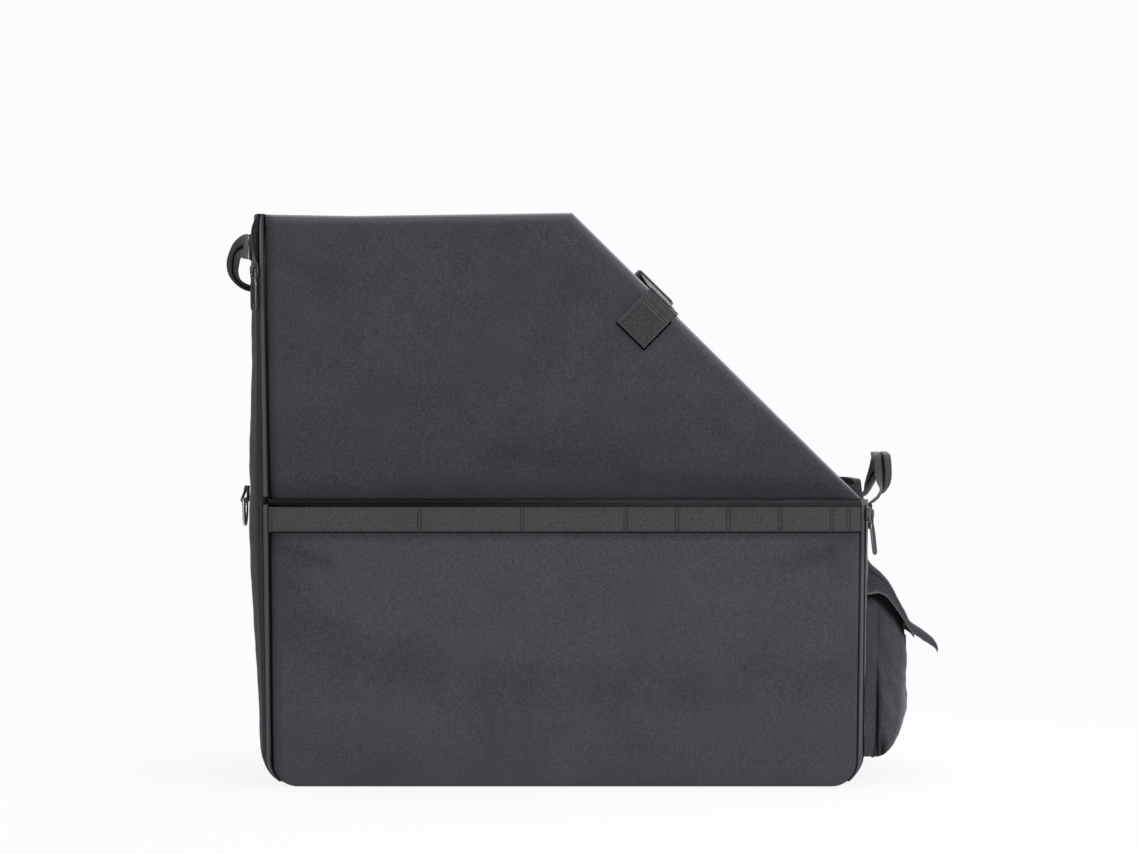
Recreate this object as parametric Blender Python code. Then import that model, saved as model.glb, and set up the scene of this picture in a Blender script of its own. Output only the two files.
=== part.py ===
"""Storage cover for a folded bicycle: a boxy padded canvas bag with one sloping corner.

The cover stands on its board-stiffened base. X runs from the tall end (-X) to the low end (+X),
the front panel faces -Y, the back panel faces +Y and Z is up. The origin is the middle of the
underside of the base. The front panel folds over at half height and, with both corner zips open,
drops forward about its foot.
"""

import math

import bmesh
import bpy
from mathutils import Vector

# Overall sizes, in metres
BODY_LENGTH = 0.600
BODY_DEPTH = 0.300
TALL_HEIGHT = 0.560
LOW_HEIGHT = 0.298
FOLD_HEIGHT = 0.279
TOP_RUN = 0.312

# Cloth, board and foam
CLOTH = 0.0012
BOARD = 0.0035
LINING = 0.0010
FOAM = 0.0040
END_CLOTH = 0.0015
TAPE = 0.0012
WEB = 0.0015

# Clearances
FIT = 0.0003
LAYER_GAP = 0.0007
FOLD_GAP = 0.004
FOOT_GAP = 0.001
RIM = 0.006

# Panel outline: how far each corner seam is set in from the plane of its end, as (height, set in)
SEAM_SET_IN = {
    "left": ((0.0, 0.018), (FOLD_HEIGHT, 0.015), (TALL_HEIGHT, 0.010)),
    "right": ((0.0, 0.010), (FOLD_HEIGHT, 0.006), (TALL_HEIGHT, 0.006)),
}
PANEL_CORNER_RADIUS = 0.030
TOP_SAG = 0.003
SAG_RUN = 0.100
CORNER_STEPS = 5

# Ends: each row is (share of the end's height, set in from the end plane, share of the crown)
END_SHAPE = {
    "left": (
        (1.0, 0.0036, 0.80),
        (0.90, 0.0010, 0.90),
        (0.71, 0.0006, 1.00),
        (0.54, -0.0010, 1.00),
        (0.43, -0.0006, 1.00),
        (0.33, 0.0020, 0.95),
        (0.24, 0.0056, 0.85),
        (0.15, 0.0086, 0.70),
        (0.0, 0.0096, 0.50),
    ),
    "right": (
        (1.0, 0.0000, 0.60),
        (0.84, 0.0000, 0.80),
        (0.50, 0.0010, 0.80),
        (0.27, 0.0010, 0.70),
        (0.0, 0.0005, 0.50),
    ),
}
END_CROWN = 0.012
CROWN_POWER = 6
END_FOOT_RADIUS = 0.035
CORNER_STRIP_DEPTH = 0.012
PAD_INSET = 0.006
CROWN_COLUMNS = (0.88, 0.65, 0.30)

# Corner zips
ZIP_SLOT = 0.0016
ZIP_BEAD = 0.0028
ZIP_BEAD_RISE = 0.0008
COIL_DEPTH = 0.0014
COIL_WIDTH = 0.0024
COIL_GAP = 0.0003
ZIP_OPEN = 0.0016
ZIP_SET_IN = {"left": (0.0042, 0.012), "right": (0.0015, 0.0035)}
ZIP_FOOT_STEPS = 3
ZIP_TOP_HEM = 0.002
LEFT_SLIDER_FROM_TOP = 0.056
LEFT_SLIDER_HEIGHT = TALL_HEIGHT - LEFT_SLIDER_FROM_TOP
RIGHT_SLIDER_HEIGHT = FOLD_HEIGHT - 0.013

# Zip slider and pull, measured from the zip's centre line: across, outward and along
SLIDER_LENGTH = 0.014
SLIDER_WIDTH = 0.009
SLIDER_RISE = 0.0023
SLIDER_PLATE = 0.0019
KEEL_WIDTH = 0.0007
KEEL_DEPTH = 0.0006
BRIDGE_LENGTH = 0.0108
BRIDGE_WIDTH = 0.0028
BRIDGE_WALL = 0.0016
PULL_BAR = 0.0020
PULL_PLATE = 0.0018
PULL_PLAY = 0.0005
PULL_LENGTH = 0.041
PULL_WIDTH = 0.0096
PULL_WINDOW_WIDTH = 0.0044
PULL_WINDOW_LENGTH = 0.0065
PULL_HANG = {"left": 0.0, "right": 7.0}

# Attachment webbing across each long side
ROW_WEBBING_WIDTH = 0.0256
ROW_WEBBING_DROP = 0.0056
ROW_CELL_RISE = 0.0012
TACK_WIDTH = 0.003
TACKS_FROM_TALL_END = (0.0175, 0.163, 0.263, 0.364, 0.414, 0.464, 0.514, 0.565, 0.581, 0.5905)

# Strap and buckle across the sloping opening
STRAP_WIDTH = 0.038
STRAP_ALONG_SLOPE = 0.120
PATCH_SIDE = 0.0390
PATCH_DROP = 0.0262
PATCH_THICKNESS = 0.0030
STRAP_RISE = 0.0095
STRAP_SKEW = 0.013

BUCKLE_WIDTH = 0.050
BUCKLE_THICKNESS = 0.010
BUCKLE_WALL = 0.0035
BUCKLE_SKIN = 0.0019
HOUSING_LENGTH = 0.036
MOUTH_INSET = 0.004
WINDOW_START = 0.004
WINDOW_LENGTH = 0.015
WEB_SLOT = 0.0050
WEB_BAR = 0.0035
MALE_LENGTH = 0.0295
MALE_NOSE = 0.0074
MIDDLE_BAR_INSET = 0.0091
MIDDLE_BAR = 0.0045
PRONG_WIDTH = 0.0040
PRONG_SHOULDER = 0.0052
PRONG_LENGTH = 0.024
TONGUE_WIDTH = 0.008
LATCH_GAP = 0.0005

# Handles on the ends
HANDLE_HALF_SPAN = 0.070
HANDLE_WEBBING = 0.025
HANDLE_GRIP = 0.017
HANDLE_THICKNESS = 0.0024
GRIP_THICKNESS = 0.0048
HANDLE_HINGE_THICKNESS = 0.0008
ANCHOR_LENGTH = 0.030
ANCHOR_HEIGHT = 0.026
LEFT_HANDLE_FROM_TOP = 0.0295
LEFT_HANDLE_HEIGHT = TALL_HEIGHT - LEFT_HANDLE_FROM_TOP
LEFT_HANDLE_REACH = 0.0180
LEFT_HANDLE_DROP = 0.0400
RIGHT_HANDLE_HEIGHT = LOW_HEIGHT - 0.023
RIGHT_HANDLE_RISE = 0.0485
RIGHT_HANDLE_LEAN = 0.0150
RIGHT_HINGE_OFFSET = 0.0015
LEFT_HINGE_RISE = 0.0140

# D-ring on the tall end
RING_ROD = 0.0036
RING_WIDTH = 0.028
RING_HEIGHT = 0.026
RING_Y = -0.060
RING_BAR_HEIGHT = 0.279
RING_TAB_WIDTH = 0.020
RING_TAB_LENGTH = 0.013

# Pocket on the low end
POCKET_HALF = 0.100
POCKET_FOOT = 0.022
POCKET_MOUTH = 0.151
POCKET_DEPTH = 0.034
POCKET_BULGE = 0.006
POCKET_WALL = 0.0015
POCKET_CORNER = 0.012
POCKET_SIDE_RISE = 0.026
PLEAT_DEPTH = 0.006
FLAP_HINGE_HEIGHT = 0.2235
FLAP_CLOTH = 0.0018
FLAP_OVERHANG = 0.004
FASTENER_WIDTH = 0.020
FASTENER_HALF = 0.075
FASTENER_THICKNESS = 0.0012

PANEL = CLOTH + FIT + BOARD + FIT + LINING
FRONT_FACE = BODY_DEPTH / 2
BAND_HALF = FRONT_FACE - CORNER_STRIP_DEPTH
HALF_LENGTH = BODY_LENGTH / 2
SIGN = {"left": -1.0, "right": 1.0, "front": -1.0, "back": 1.0}
END_HEIGHT = {"left": TALL_HEIGHT, "right": LOW_HEIGHT}

CANVAS = ("canvas", (0.058, 0.057, 0.062), 0.92, 0.0)
LINING_CLOTH = ("lining", (0.020, 0.020, 0.022), 0.85, 0.0)
WEBBING = ("webbing", (0.063, 0.063, 0.066), 0.80, 0.0)
STIFFENER = ("stiffener_board", (0.45, 0.44, 0.42), 0.60, 0.0)
FOAM_PAD = ("foam", (0.10, 0.10, 0.11), 0.95, 0.0)
NICKEL = ("nickel", (0.55, 0.54, 0.53), 0.30, 1.0)
PLASTIC = ("black_plastic", (0.016, 0.016, 0.018), 0.45, 0.0)
HOOK_TAPE = ("hook_tape", (0.012, 0.012, 0.013), 0.95, 0.0)


def clear_scene():
    """Removes what the startup file holds."""
    for obj in list(bpy.data.objects):
        bpy.data.objects.remove(obj, do_unlink=True)


def make_material(kind):
    """The Principled material of one kind, made once and then shared."""
    name, colour, roughness, metallic = kind
    material = bpy.data.materials.get(name)
    if material is None:
        material = bpy.data.materials.new(name)
        material.use_nodes = True
        shader = material.node_tree.nodes["Principled BSDF"]
        shader.inputs["Base Color"].default_value = (*colour, 1.0)
        shader.inputs["Roughness"].default_value = roughness
        shader.inputs["Metallic"].default_value = metallic
    return material


class Pivot:
    """An empty on a joint's axis. The pieces that the joint moves are its children."""

    def __init__(self, name, place, parent=None):
        self.place = Vector(place)
        self.empty = bpy.data.objects.new(name, None)
        self.empty.empty_display_size = 0.02
        bpy.context.scene.collection.objects.link(self.empty)
        self.empty.location = self.place
        if parent:
            self.empty.parent = parent.empty
            self.empty.location = self.place - parent.place


def finish(name, bm, kind, pivot, smooth=30.0):
    """Turns a bmesh in world coordinates into an object whose origin is its pivot."""
    bmesh.ops.recalc_face_normals(bm, faces=bm.faces)
    bmesh.ops.translate(bm, verts=bm.verts, vec=-pivot.place)
    mesh = bpy.data.meshes.new(name)
    bm.to_mesh(mesh)
    bm.free()
    mesh.materials.append(make_material(kind))
    mesh.shade_smooth()
    mesh.set_sharp_from_angle(angle=math.radians(smooth))
    obj = bpy.data.objects.new(name, mesh)
    bpy.context.scene.collection.objects.link(obj)
    obj.parent = pivot.empty
    return obj


def add_bevel(obj, width, segments=2, angle=40.0):
    """Rounds the edges that are sharper than the angle."""
    modifier = obj.modifiers.new("round_edges", "BEVEL")
    modifier.width = width
    modifier.segments = segments
    modifier.limit_method = "ANGLE"
    modifier.angle_limit = math.radians(angle)
    modifier.use_clamp_overlap = True


def combine(obj, bm, pivot, operation, name):
    """Cuts a helper shape from an object, or joins it on."""
    tool = finish(name, bm, PLASTIC, pivot)
    tool.hide_render = True
    tool.display_type = "WIRE"
    modifier = obj.modifiers.new(name, "BOOLEAN")
    modifier.operation = operation
    modifier.solver = "EXACT"
    modifier.object = tool


def prism(outline, sweep):
    """A flat outline of 3-D points, extruded along a vector."""
    bm = bmesh.new()
    face = bm.faces.new([bm.verts.new(point) for point in outline])
    made = bmesh.ops.extrude_face_region(bm, geom=[face])["geom"]
    moved = [item for item in made if isinstance(item, bmesh.types.BMVert)]
    bmesh.ops.translate(bm, verts=moved, vec=Vector(sweep))
    return bm


def loft(rings):
    """A closed body through rings of equal count: a face is extruded from each ring to the next."""
    bm = bmesh.new()
    verts = [bm.verts.new(point) for point in rings[0]]
    face = bm.faces.new(verts)
    for index, ring in enumerate(rings[1:]):
        made = bmesh.ops.extrude_face_region(bm, geom=[face])["geom"]
        if index:
            bm.faces.remove(face)
        at = {item.co.to_tuple(7): item for item in made if isinstance(item, bmesh.types.BMVert)}
        face = next(item for item in made if isinstance(item, bmesh.types.BMFace))
        verts = [at[vert.co.to_tuple(7)] for vert in verts]
        for vert, point in zip(verts, ring):
            vert.co = point
    return bm


def ribbon(stations):
    """A strap through stations of (centre, width vector, thickness vector)."""
    rings = []
    for centre, width, thickness in stations:
        half_width = width / 2
        half_thickness = thickness / 2
        rings.append(
            [
                centre - half_width - half_thickness,
                centre + half_width - half_thickness,
                centre + half_width + half_thickness,
                centre - half_width + half_thickness,
            ]
        )
    return loft(rings)


def strap_along(path, width, thickness):
    """A strap of constant width that follows a flat path, its thickness square to both."""
    stations = []
    for index, centre in enumerate(path):
        before = path[max(index - 1, 0)]
        after = path[min(index + 1, len(path) - 1)]
        normal = (after - before).cross(width).normalized()
        stations.append((centre, width, normal * thickness))
    return ribbon(stations)


def interpolate(table, at):
    """The table's value at a place, straight between its rows, which rise."""
    for (low, first), (high, second) in zip(table, table[1:]):
        if at <= high:
            return first + (second - first) * (at - low) / (high - low)
    return table[-1][1]


def inset_outline(points, amount):
    """A convex outline of (x, z) points, moved in by the same amount all round."""
    centre = sum(points, Vector((0.0, 0.0))) / len(points)
    lines = []
    for first, second in zip(points, points[1:] + points[:1]):
        along = (second - first).normalized()
        inward = Vector((-along.y, along.x))
        if inward.dot(centre - first) < 0:
            inward = -inward
        lines.append((first + inward * amount, along))
    moved = []
    for (place, along), (other, towards) in zip(lines[-1:] + lines[:-1], lines):
        turn = along.x * towards.y - along.y * towards.x
        gap = other - place
        moved.append(place + along * ((gap.x * towards.y - gap.y * towards.x) / turn))
    return moved


def seam_reach(side, height):
    """How far from the middle a panel's corner seam lies."""
    return HALF_LENGTH - interpolate(SEAM_SET_IN[side], height)


def slope_edge():
    """The sloping edge: its low end, the unit vector up it and the one square to it, outwards."""
    low = Vector((seam_reach("right", FOLD_HEIGHT), 0.0, FOLD_HEIGHT + FOLD_GAP))
    high = Vector((TOP_RUN - HALF_LENGTH, 0.0, TALL_HEIGHT))
    up = (high - low).normalized()
    return low, up, Vector((up.z, 0.0, -up.x))


def lower_outline():
    """The panel below the fold, with rounded foot corners, as (x, z) points."""
    top = FOLD_HEIGHT - FOLD_GAP
    points = []
    for side in ("left", "right"):
        foot_reach = seam_reach(side, PANEL_CORNER_RADIUS)
        corner = []
        for step in range(CORNER_STEPS + 1):
            angle = math.radians(90.0 * step / CORNER_STEPS)
            reach = foot_reach - PANEL_CORNER_RADIUS * (1 - math.cos(angle))
            height = FOOT_GAP + PANEL_CORNER_RADIUS * (1 - math.sin(angle))
            corner.append(Vector((SIGN[side] * reach, height)))
        corner.insert(0, Vector((SIGN[side] * seam_reach(side, top), top)))
        points += corner if side == "left" else corner[::-1]
    return points


def upper_outline():
    """The panel above the fold, with the slope cut across its corner, as (x, z) points."""
    foot = FOLD_HEIGHT + FOLD_GAP
    return [
        Vector((-seam_reach("left", TALL_HEIGHT), TALL_HEIGHT - TOP_SAG / 2)),
        Vector((-seam_reach("left", foot), foot)),
        Vector((seam_reach("right", foot), foot)),
        Vector((TOP_RUN - HALF_LENGTH, TALL_HEIGHT)),
        Vector((SAG_RUN - HALF_LENGTH, TALL_HEIGHT - TOP_SAG)),
    ]


def in_panel_plane(outline, depth, face):
    """An (x, z) outline placed at a depth below a long side's outer face."""
    y = SIGN[face] * (FRONT_FACE - depth)
    return [Vector((point.x, y, point.y)) for point in outline]


def stiffened_panel(name, outline, fold_edge, face, pivot):
    """A cloth sleeve with a slot at its fold edge, and the board that slides into it."""
    inward = Vector((0.0, -SIGN[face], 0.0))
    sleeve_shape = prism(in_panel_plane(outline, 0.0, face), inward * PANEL)
    sleeve = finish(name + "_cover", sleeve_shape, CANVAS, pivot)
    add_bevel(sleeve, CLOTH)
    hollow = inset_outline(outline, RIM)
    opened = []
    for point, after in zip(hollow, hollow[1:] + hollow[:1]):
        opened.append(point)
        if max(abs(point.y - fold_edge), abs(after.y - fold_edge)) < 1.5 * RIM:
            opened += [Vector((edge.x, 2 * fold_edge - edge.y)) for edge in (point, after)]
    cut = prism(in_panel_plane(opened, CLOTH, face), inward * (BOARD + 2 * FIT))
    combine(sleeve, cut, pivot, "DIFFERENCE", name + "_slot")
    board_outline = inset_outline(outline, RIM + FIT)
    board = prism(in_panel_plane(board_outline, CLOTH + FIT, face), inward * BOARD)
    finish(name + "_board", board, STIFFENER, pivot)


def build_base(shell):
    """The floor of the bag: a sleeve open at the tall end, with a board in it."""
    left = -(end_foot_reach("left") - END_FOOT_RADIUS - FIT)
    right = end_foot_reach("right") - END_FOOT_RADIUS - FIT
    half = FRONT_FACE - PANEL - FIT

    def slab(low_x, high_x, half_y, low_z, thickness):
        corners = [(low_x, -half_y), (high_x, -half_y), (high_x, half_y), (low_x, half_y)]
        return prism([Vector((x, y, low_z)) for x, y in corners], (0.0, 0.0, thickness))

    cover = finish("base_cover", slab(left, right, half, 0.0, PANEL), CANVAS, shell)
    slot = slab(left - RIM, right - RIM, half - RIM, CLOTH, BOARD + 2 * FIT)
    combine(cover, slot, shell, "DIFFERENCE", "base_slot")
    board = slab(left + RIM, right - RIM - FIT, half - RIM - FIT, CLOTH + FIT, BOARD)
    finish("base_board", board, STIFFENER, shell)


def build_fold_cloth(face, shell_or_lower):
    """The cloth that joins the two boards of a long side behind the fold, with its welt in the gap."""
    low, high = FOLD_HEIGHT - 4 * FOLD_GAP, FOLD_HEIGHT + 4 * FOLD_GAP
    welt = FOLD_GAP - FIT
    inner = PANEL + FIT + LINING
    profile = [
        (inner, low),
        (inner, high),
        (PANEL + FIT, high),
        (PANEL + FIT, FOLD_HEIGHT + welt),
        (PANEL / 2, FOLD_HEIGHT + welt * 0.8),
        (PANEL / 2 - LINING, FOLD_HEIGHT),
        (PANEL / 2, FOLD_HEIGHT - welt * 0.8),
        (PANEL + FIT, FOLD_HEIGHT - welt),
        (PANEL + FIT, low),
    ]
    left = -seam_reach("left", FOLD_HEIGHT)
    run = seam_reach("right", FOLD_HEIGHT) - left
    ring = [Vector((left, SIGN[face] * (FRONT_FACE - depth), height)) for depth, height in profile]
    finish(face + "_fold_cloth", prism(ring, (run, 0.0, 0.0)), LINING_CLOTH, shell_or_lower)


def end_set_in(side, height, column):
    """A value of the end's shape table at a height: column 1 is the set-in, 2 the crown's share."""
    rows = [(share * END_HEIGHT[side], row[column - 1]) for share, *row in reversed(END_SHAPE[side])]
    return interpolate(rows, height)


def end_reach(side, height):
    """How far from the middle the end's corner edge lies at a height."""
    return HALF_LENGTH - end_set_in(side, height, 1)


def end_foot_reach(side):
    """The same, where the foot's curve starts."""
    return end_reach(side, END_FOOT_RADIUS)


def end_surface(side, y, height):
    """How far from the middle the end's crowned outer face lies."""
    crown = END_CROWN * end_set_in(side, height, 2)
    return end_reach(side, height) + crown * (1 - abs(y / BAND_HALF) ** CROWN_POWER)


def end_path(side, top):
    """Stations from the top of an end, down and round its foot: (place, outward vector, crown)."""
    sign = SIGN[side]
    heights = [share * END_HEIGHT[side] for share, *_ in END_SHAPE[side]]
    heights = [top] + [height for height in heights if END_FOOT_RADIUS + RIM < height < top - RIM]
    stations = []
    for height in heights + [END_FOOT_RADIUS]:
        place = Vector((sign * end_reach(side, height), 0.0, height))
        crown = END_CROWN * end_set_in(side, height, 2)
        stations.append((place, Vector((sign, 0.0, 0.0)), crown))
    centre = Vector((sign * (end_foot_reach(side) - END_FOOT_RADIUS), 0.0, END_FOOT_RADIUS))
    foot_crown = stations[-1][2]
    for step in range(1, CORNER_STEPS + 1):
        angle = math.radians(90.0 * step / CORNER_STEPS)
        outward = Vector((sign * math.cos(angle), 0.0, -math.sin(angle)))
        crown = foot_crown * math.cos(angle) ** 2
        stations.append((centre + outward * END_FOOT_RADIUS, outward, crown))
    return stations


def end_layer(name, side, layer, inset, kind, shell):
    """One layer of an end, swept down its path: layer is (depth, thickness), inset is from its edges."""
    depth, thickness = layer
    columns = [1.0 - PAD_INSET / BAND_HALF, *CROWN_COLUMNS]
    if not inset:
        columns.insert(0, 1.0)
    shares = [-share for share in columns] + [0.0] + columns[::-1]
    rings = []
    for place, outward, crown in end_path(side, END_HEIGHT[side] - inset):
        outer = []
        for share in shares:
            y = BAND_HALF * share
            lift = crown * (1 - abs(share) ** CROWN_POWER) - depth
            outer.append(place + outward * lift + Vector((0.0, y, 0.0)))
        inner = [point - outward * thickness for point in reversed(outer)]
        rings.append(outer + inner)
    finish(name, loft(rings), kind, shell, smooth=50.0)


def build_end(side, shell):
    """An end: crowned outer cloth, foam pad and lining, all carried round the foot to the base."""
    pad_depth = END_CLOTH + LAYER_GAP
    lining_depth = pad_depth + FOAM + LAYER_GAP
    end_layer(side + "_end_cover", side, (0.0, END_CLOTH), 0.0, CANVAS, shell)
    end_layer(side + "_end_pad", side, (pad_depth, FOAM), PAD_INSET, FOAM_PAD, shell)
    end_layer(side + "_end_lining", side, (lining_depth, LINING), 0.0, LINING_CLOTH, shell)


def zip_centre(side, height):
    """How far from the middle the zip's straight centre line lies."""
    foot, top = ZIP_SET_IN[side][1], ZIP_SET_IN[side][0]
    share = (height - END_FOOT_RADIUS) / (END_HEIGHT[side] - END_FOOT_RADIUS)
    return HALF_LENGTH - (foot + (top - foot) * share)


def corner_path(side, face, heights, round_foot):
    """Stations along a corner strip: (panel edge, centre line, end edge, outward vector, height)."""
    sign = SIGN[side]
    face_y = SIGN[face] * FRONT_FACE
    end_y = SIGN[face] * BAND_HALF
    middle_y = (face_y + end_y) / 2
    across = Vector((sign, 0.0, 0.0))
    stations = []
    for height in heights:
        edges = (seam_reach(side, height), zip_centre(side, height), end_reach(side, height))
        places = [
            Vector((sign * reach, y, height)) for reach, y in zip(edges, (face_y, middle_y, end_y))
        ]
        stations.append((*places, across, height))
    if round_foot:
        radii = (PANEL_CORNER_RADIUS, (PANEL_CORNER_RADIUS + END_FOOT_RADIUS) / 2, END_FOOT_RADIUS)
        low = (FOOT_GAP, FOOT_GAP / 2, 0.0)
        feet = (
            seam_reach(side, PANEL_CORNER_RADIUS),
            zip_centre(side, END_FOOT_RADIUS),
            end_foot_reach(side),
        )
        for step in range(ZIP_FOOT_STEPS + 1):
            angle = math.radians(90.0 * step / CORNER_STEPS)
            outward = Vector((sign * math.cos(angle), 0.0, -math.sin(angle)))
            places = []
            for foot, radius, rise, y in zip(feet, radii, low, (face_y, middle_y, end_y)):
                centre = Vector((sign * (foot - radius), y, rise + radius))
                places.append(centre + outward * radius)
            stations.append((*places, outward, 0.0))
    return stations


def strip_axes(start, end, outward):
    """Width, unit vector across and outward normal of a strip between two edges."""
    across = end - start
    rise = across.dot(outward)
    along_y = across.y
    normal = (outward * abs(along_y) - Vector((0.0, math.copysign(rise, along_y), 0.0))).normalized()
    return across.length, across.normalized(), normal


def zip_half_ring(places, outward, opening, at_panel):
    """The section of one zip half: tape, rolled bead beside the slot, and a coil but for the foot."""
    panel_edge, centre, end_edge = places
    bend = bend_normal(places, outward)
    if at_panel:
        start = panel_edge + outward * FIT
        inward = Vector((0.0, -math.copysign(1.0, panel_edge.y), 0.0))
    else:
        start = end_edge + Vector((0.0, math.copysign(FIT, end_edge.y), 0.0))
        inward = -outward
    _, back, normal = strip_axes(centre, start, outward)
    mitre = inward * (TAPE / abs(normal.dot(inward)))
    edge_at = ZIP_SLOT / 2 + opening
    coil_at = COIL_GAP / 2 + opening
    taper = outward.x**2
    bottom = -TAPE - COIL_DEPTH * taper
    section = [
        (edge_at + ZIP_BEAD, 0.0),
        (edge_at + ZIP_BEAD * 0.7, ZIP_BEAD_RISE),
        (edge_at, ZIP_BEAD_RISE),
        (edge_at, -TAPE),
        (coil_at, -TAPE),
        (coil_at, bottom),
        (coil_at + COIL_WIDTH * taper, bottom),
        (coil_at + COIL_WIDTH * taper + FIT, -TAPE),
    ]
    return [start] + [centre + back * u + bend * v for u, v in section] + [start + mitre]


def bend_normal(places, outward):
    """The outward normal at a strip's centre line, halfway between its two flanks' normals."""
    panel_edge, centre, end_edge = places
    first = strip_axes(panel_edge, centre, outward)[2]
    second = strip_axes(centre, end_edge, outward)[2]
    return (first + second).normalized()


def zip_half(name, side, heights, round_foot, at_panel, pivot):
    """One half of a corner zip. Above the tall end's slider the halves part in a V."""
    rings = []
    for *places, outward, height in corner_path(side, "front", heights, round_foot):
        opening = 0.0
        if side == "left" and height > LEFT_SLIDER_HEIGHT:
            share = (height - LEFT_SLIDER_HEIGHT) / (TALL_HEIGHT - LEFT_SLIDER_HEIGHT)
            opening = ZIP_OPEN * share
        rings.append(zip_half_ring(places, outward, opening, at_panel))
    finish(name, loft(rings), WEBBING, pivot)


def build_zips(shell, lower, upper):
    """The tapes of both front corner zips, split where the front panel folds."""
    below, above = FOLD_HEIGHT - FOLD_GAP, FOLD_HEIGHT + FOLD_GAP
    foot = END_FOOT_RADIUS
    top = TALL_HEIGHT - ZIP_TOP_HEM
    between = (LEFT_SLIDER_HEIGHT, (LEFT_SLIDER_HEIGHT + above) / 2, above)
    low_rows = (below, (below + foot) / 2)
    left_end = (top, (top + LEFT_SLIDER_HEIGHT) / 2) + between + (low_rows[1],)
    zip_half("left_zip_upper_tape", "left", left_end[:2] + between, False, True, upper)
    zip_half("left_zip_lower_tape", "left", low_rows, True, True, lower)
    zip_half("left_zip_end_tape", "left", left_end, True, False, shell)
    zip_half("right_zip_front_tape", "right", low_rows, True, True, lower)
    zip_half("right_zip_end_tape", "right", low_rows, True, False, shell)


def build_back_corner(side, shell):
    """The sewn canvas strip at a back corner, which has no zip."""
    foot = END_FOOT_RADIUS
    top = min(END_HEIGHT[side], TALL_HEIGHT) - ZIP_TOP_HEM
    heights = (top, FOLD_HEIGHT, (FOLD_HEIGHT + foot) / 2)
    if side == "right":
        heights = (FOLD_HEIGHT - FOLD_GAP, (FOLD_HEIGHT + foot) / 2)
    rings = []
    for panel_edge, centre, end_edge, outward, _ in corner_path(side, "back", heights, True):
        start = panel_edge + outward * FIT
        end = end_edge + Vector((0.0, FIT, 0.0))
        _, _, first_normal = strip_axes(start, centre, outward)
        _, _, second_normal = strip_axes(centre, end, outward)
        bend = bend_normal((start, centre, end), outward)
        panel_mitre = Vector((0.0, -TAPE / abs(first_normal.y), 0.0))
        end_mitre = -outward * (TAPE / abs(second_normal.dot(outward)))
        rings.append([start, centre, end, end + end_mitre, centre - bend * TAPE, start + panel_mitre])
    finish(side + "_back_corner", loft(rings), CANVAS, shell)


class Frame:
    """A local frame on the bag: a place, and unit vectors across, outward and along."""

    def __init__(self, place, across, outward, along):
        self.place, self.across, self.outward, self.along = place, across, outward, along

    def at(self, across, outward, along):
        """A local point in world coordinates."""
        return self.place + self.across * across + self.outward * outward + self.along * along

    def block(self, across, outward, along):
        """A box between pairs of local values."""
        ends = [(across[0], along[0]), (across[1], along[0]), (across[1], along[1]), (across[0], along[1])]
        face = [self.at(u, outward[0], w) for u, w in ends]
        return prism(face, self.outward * (outward[1] - outward[0]))

    def plate(self, outline, outward):
        """An (across, along) outline, thick between two outward values."""
        face = [self.at(u, outward[0], w) for u, w in outline]
        return prism(face, self.outward * (outward[1] - outward[0]))

    def rib(self, profile, across):
        """An (along, outward) profile, wide between two across values."""
        face = [self.at(across[0], v, w) for w, v in profile]
        return prism(face, self.across * (across[1] - across[0]))


def zip_frame(side, height):
    """The frame on a zip's centre line: along points down it and outward stands off the strip."""
    *places, outward, _ = corner_path(side, "front", [height], False)[0]
    centre = places[1]
    low = corner_path(side, "front", [END_FOOT_RADIUS], False)[0][1]
    along = (low - centre).normalized()
    normal = bend_normal(places, outward)
    normal = (normal - along * normal.dot(along)).normalized()
    return Frame(centre, normal.cross(along).normalized(), normal, along)


def mirrored(half):
    """A full (across, along) outline from its positive half, listed in order of along."""
    return half + [(-across, along) for across, along in reversed(half)]


def build_slider(side, frame, pivot):
    """A zip slider: keel in the slot, shield-shaped plate over the beads, and a bridge for its pull."""
    half, long = SLIDER_WIDTH / 2, SLIDER_LENGTH / 2
    top = SLIDER_RISE + SLIDER_PLATE
    shield = mirrored([(half * 0.7, -long), (half, -long * 0.55), (half, long * 0.4), (half * 0.65, long)])
    slider = finish(side + "_zip_slider", frame.plate(shield, (SLIDER_RISE, top)), NICKEL, pivot)
    add_bevel(slider, 0.0004, 2, 50.0)
    keel = frame.block(
        (-KEEL_WIDTH / 2, KEEL_WIDTH / 2), (-KEEL_DEPTH, SLIDER_RISE + FIT), (-long * 0.8, long * 0.8)
    )
    combine(slider, keel, pivot, "UNION", side + "_slider_keel")
    foot, reach = BRIDGE_LENGTH / 2, bridge_height()
    inner = foot - BRIDGE_WALL
    arch = [
        (-foot, top - FIT),
        (-foot + 0.0006, top + reach * 0.75),
        (-foot + 0.0020, top + reach),
        (foot - 0.0020, top + reach),
        (foot - 0.0006, top + reach * 0.75),
        (foot, top - FIT),
        (inner, top - FIT),
        (inner - 0.0003, top + reach - BRIDGE_WALL),
        (-inner + 0.0003, top + reach - BRIDGE_WALL),
        (-inner, top - FIT),
    ]
    bridge = frame.rib(arch, (-BRIDGE_WIDTH / 2, BRIDGE_WIDTH / 2))
    combine(slider, bridge, pivot, "UNION", side + "_slider_bridge")


def bridge_height():
    """How far the slider's bridge stands off its plate, to pass the pull's bar with play."""
    return math.hypot(PULL_BAR, PULL_PLATE) + 2 * PULL_PLAY / 3 + BRIDGE_WALL


def pull_axis_rise():
    """How far off the tape the pull's bar turns."""
    return SLIDER_RISE + SLIDER_PLATE + (bridge_height() - BRIDGE_WALL) / 2


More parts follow.
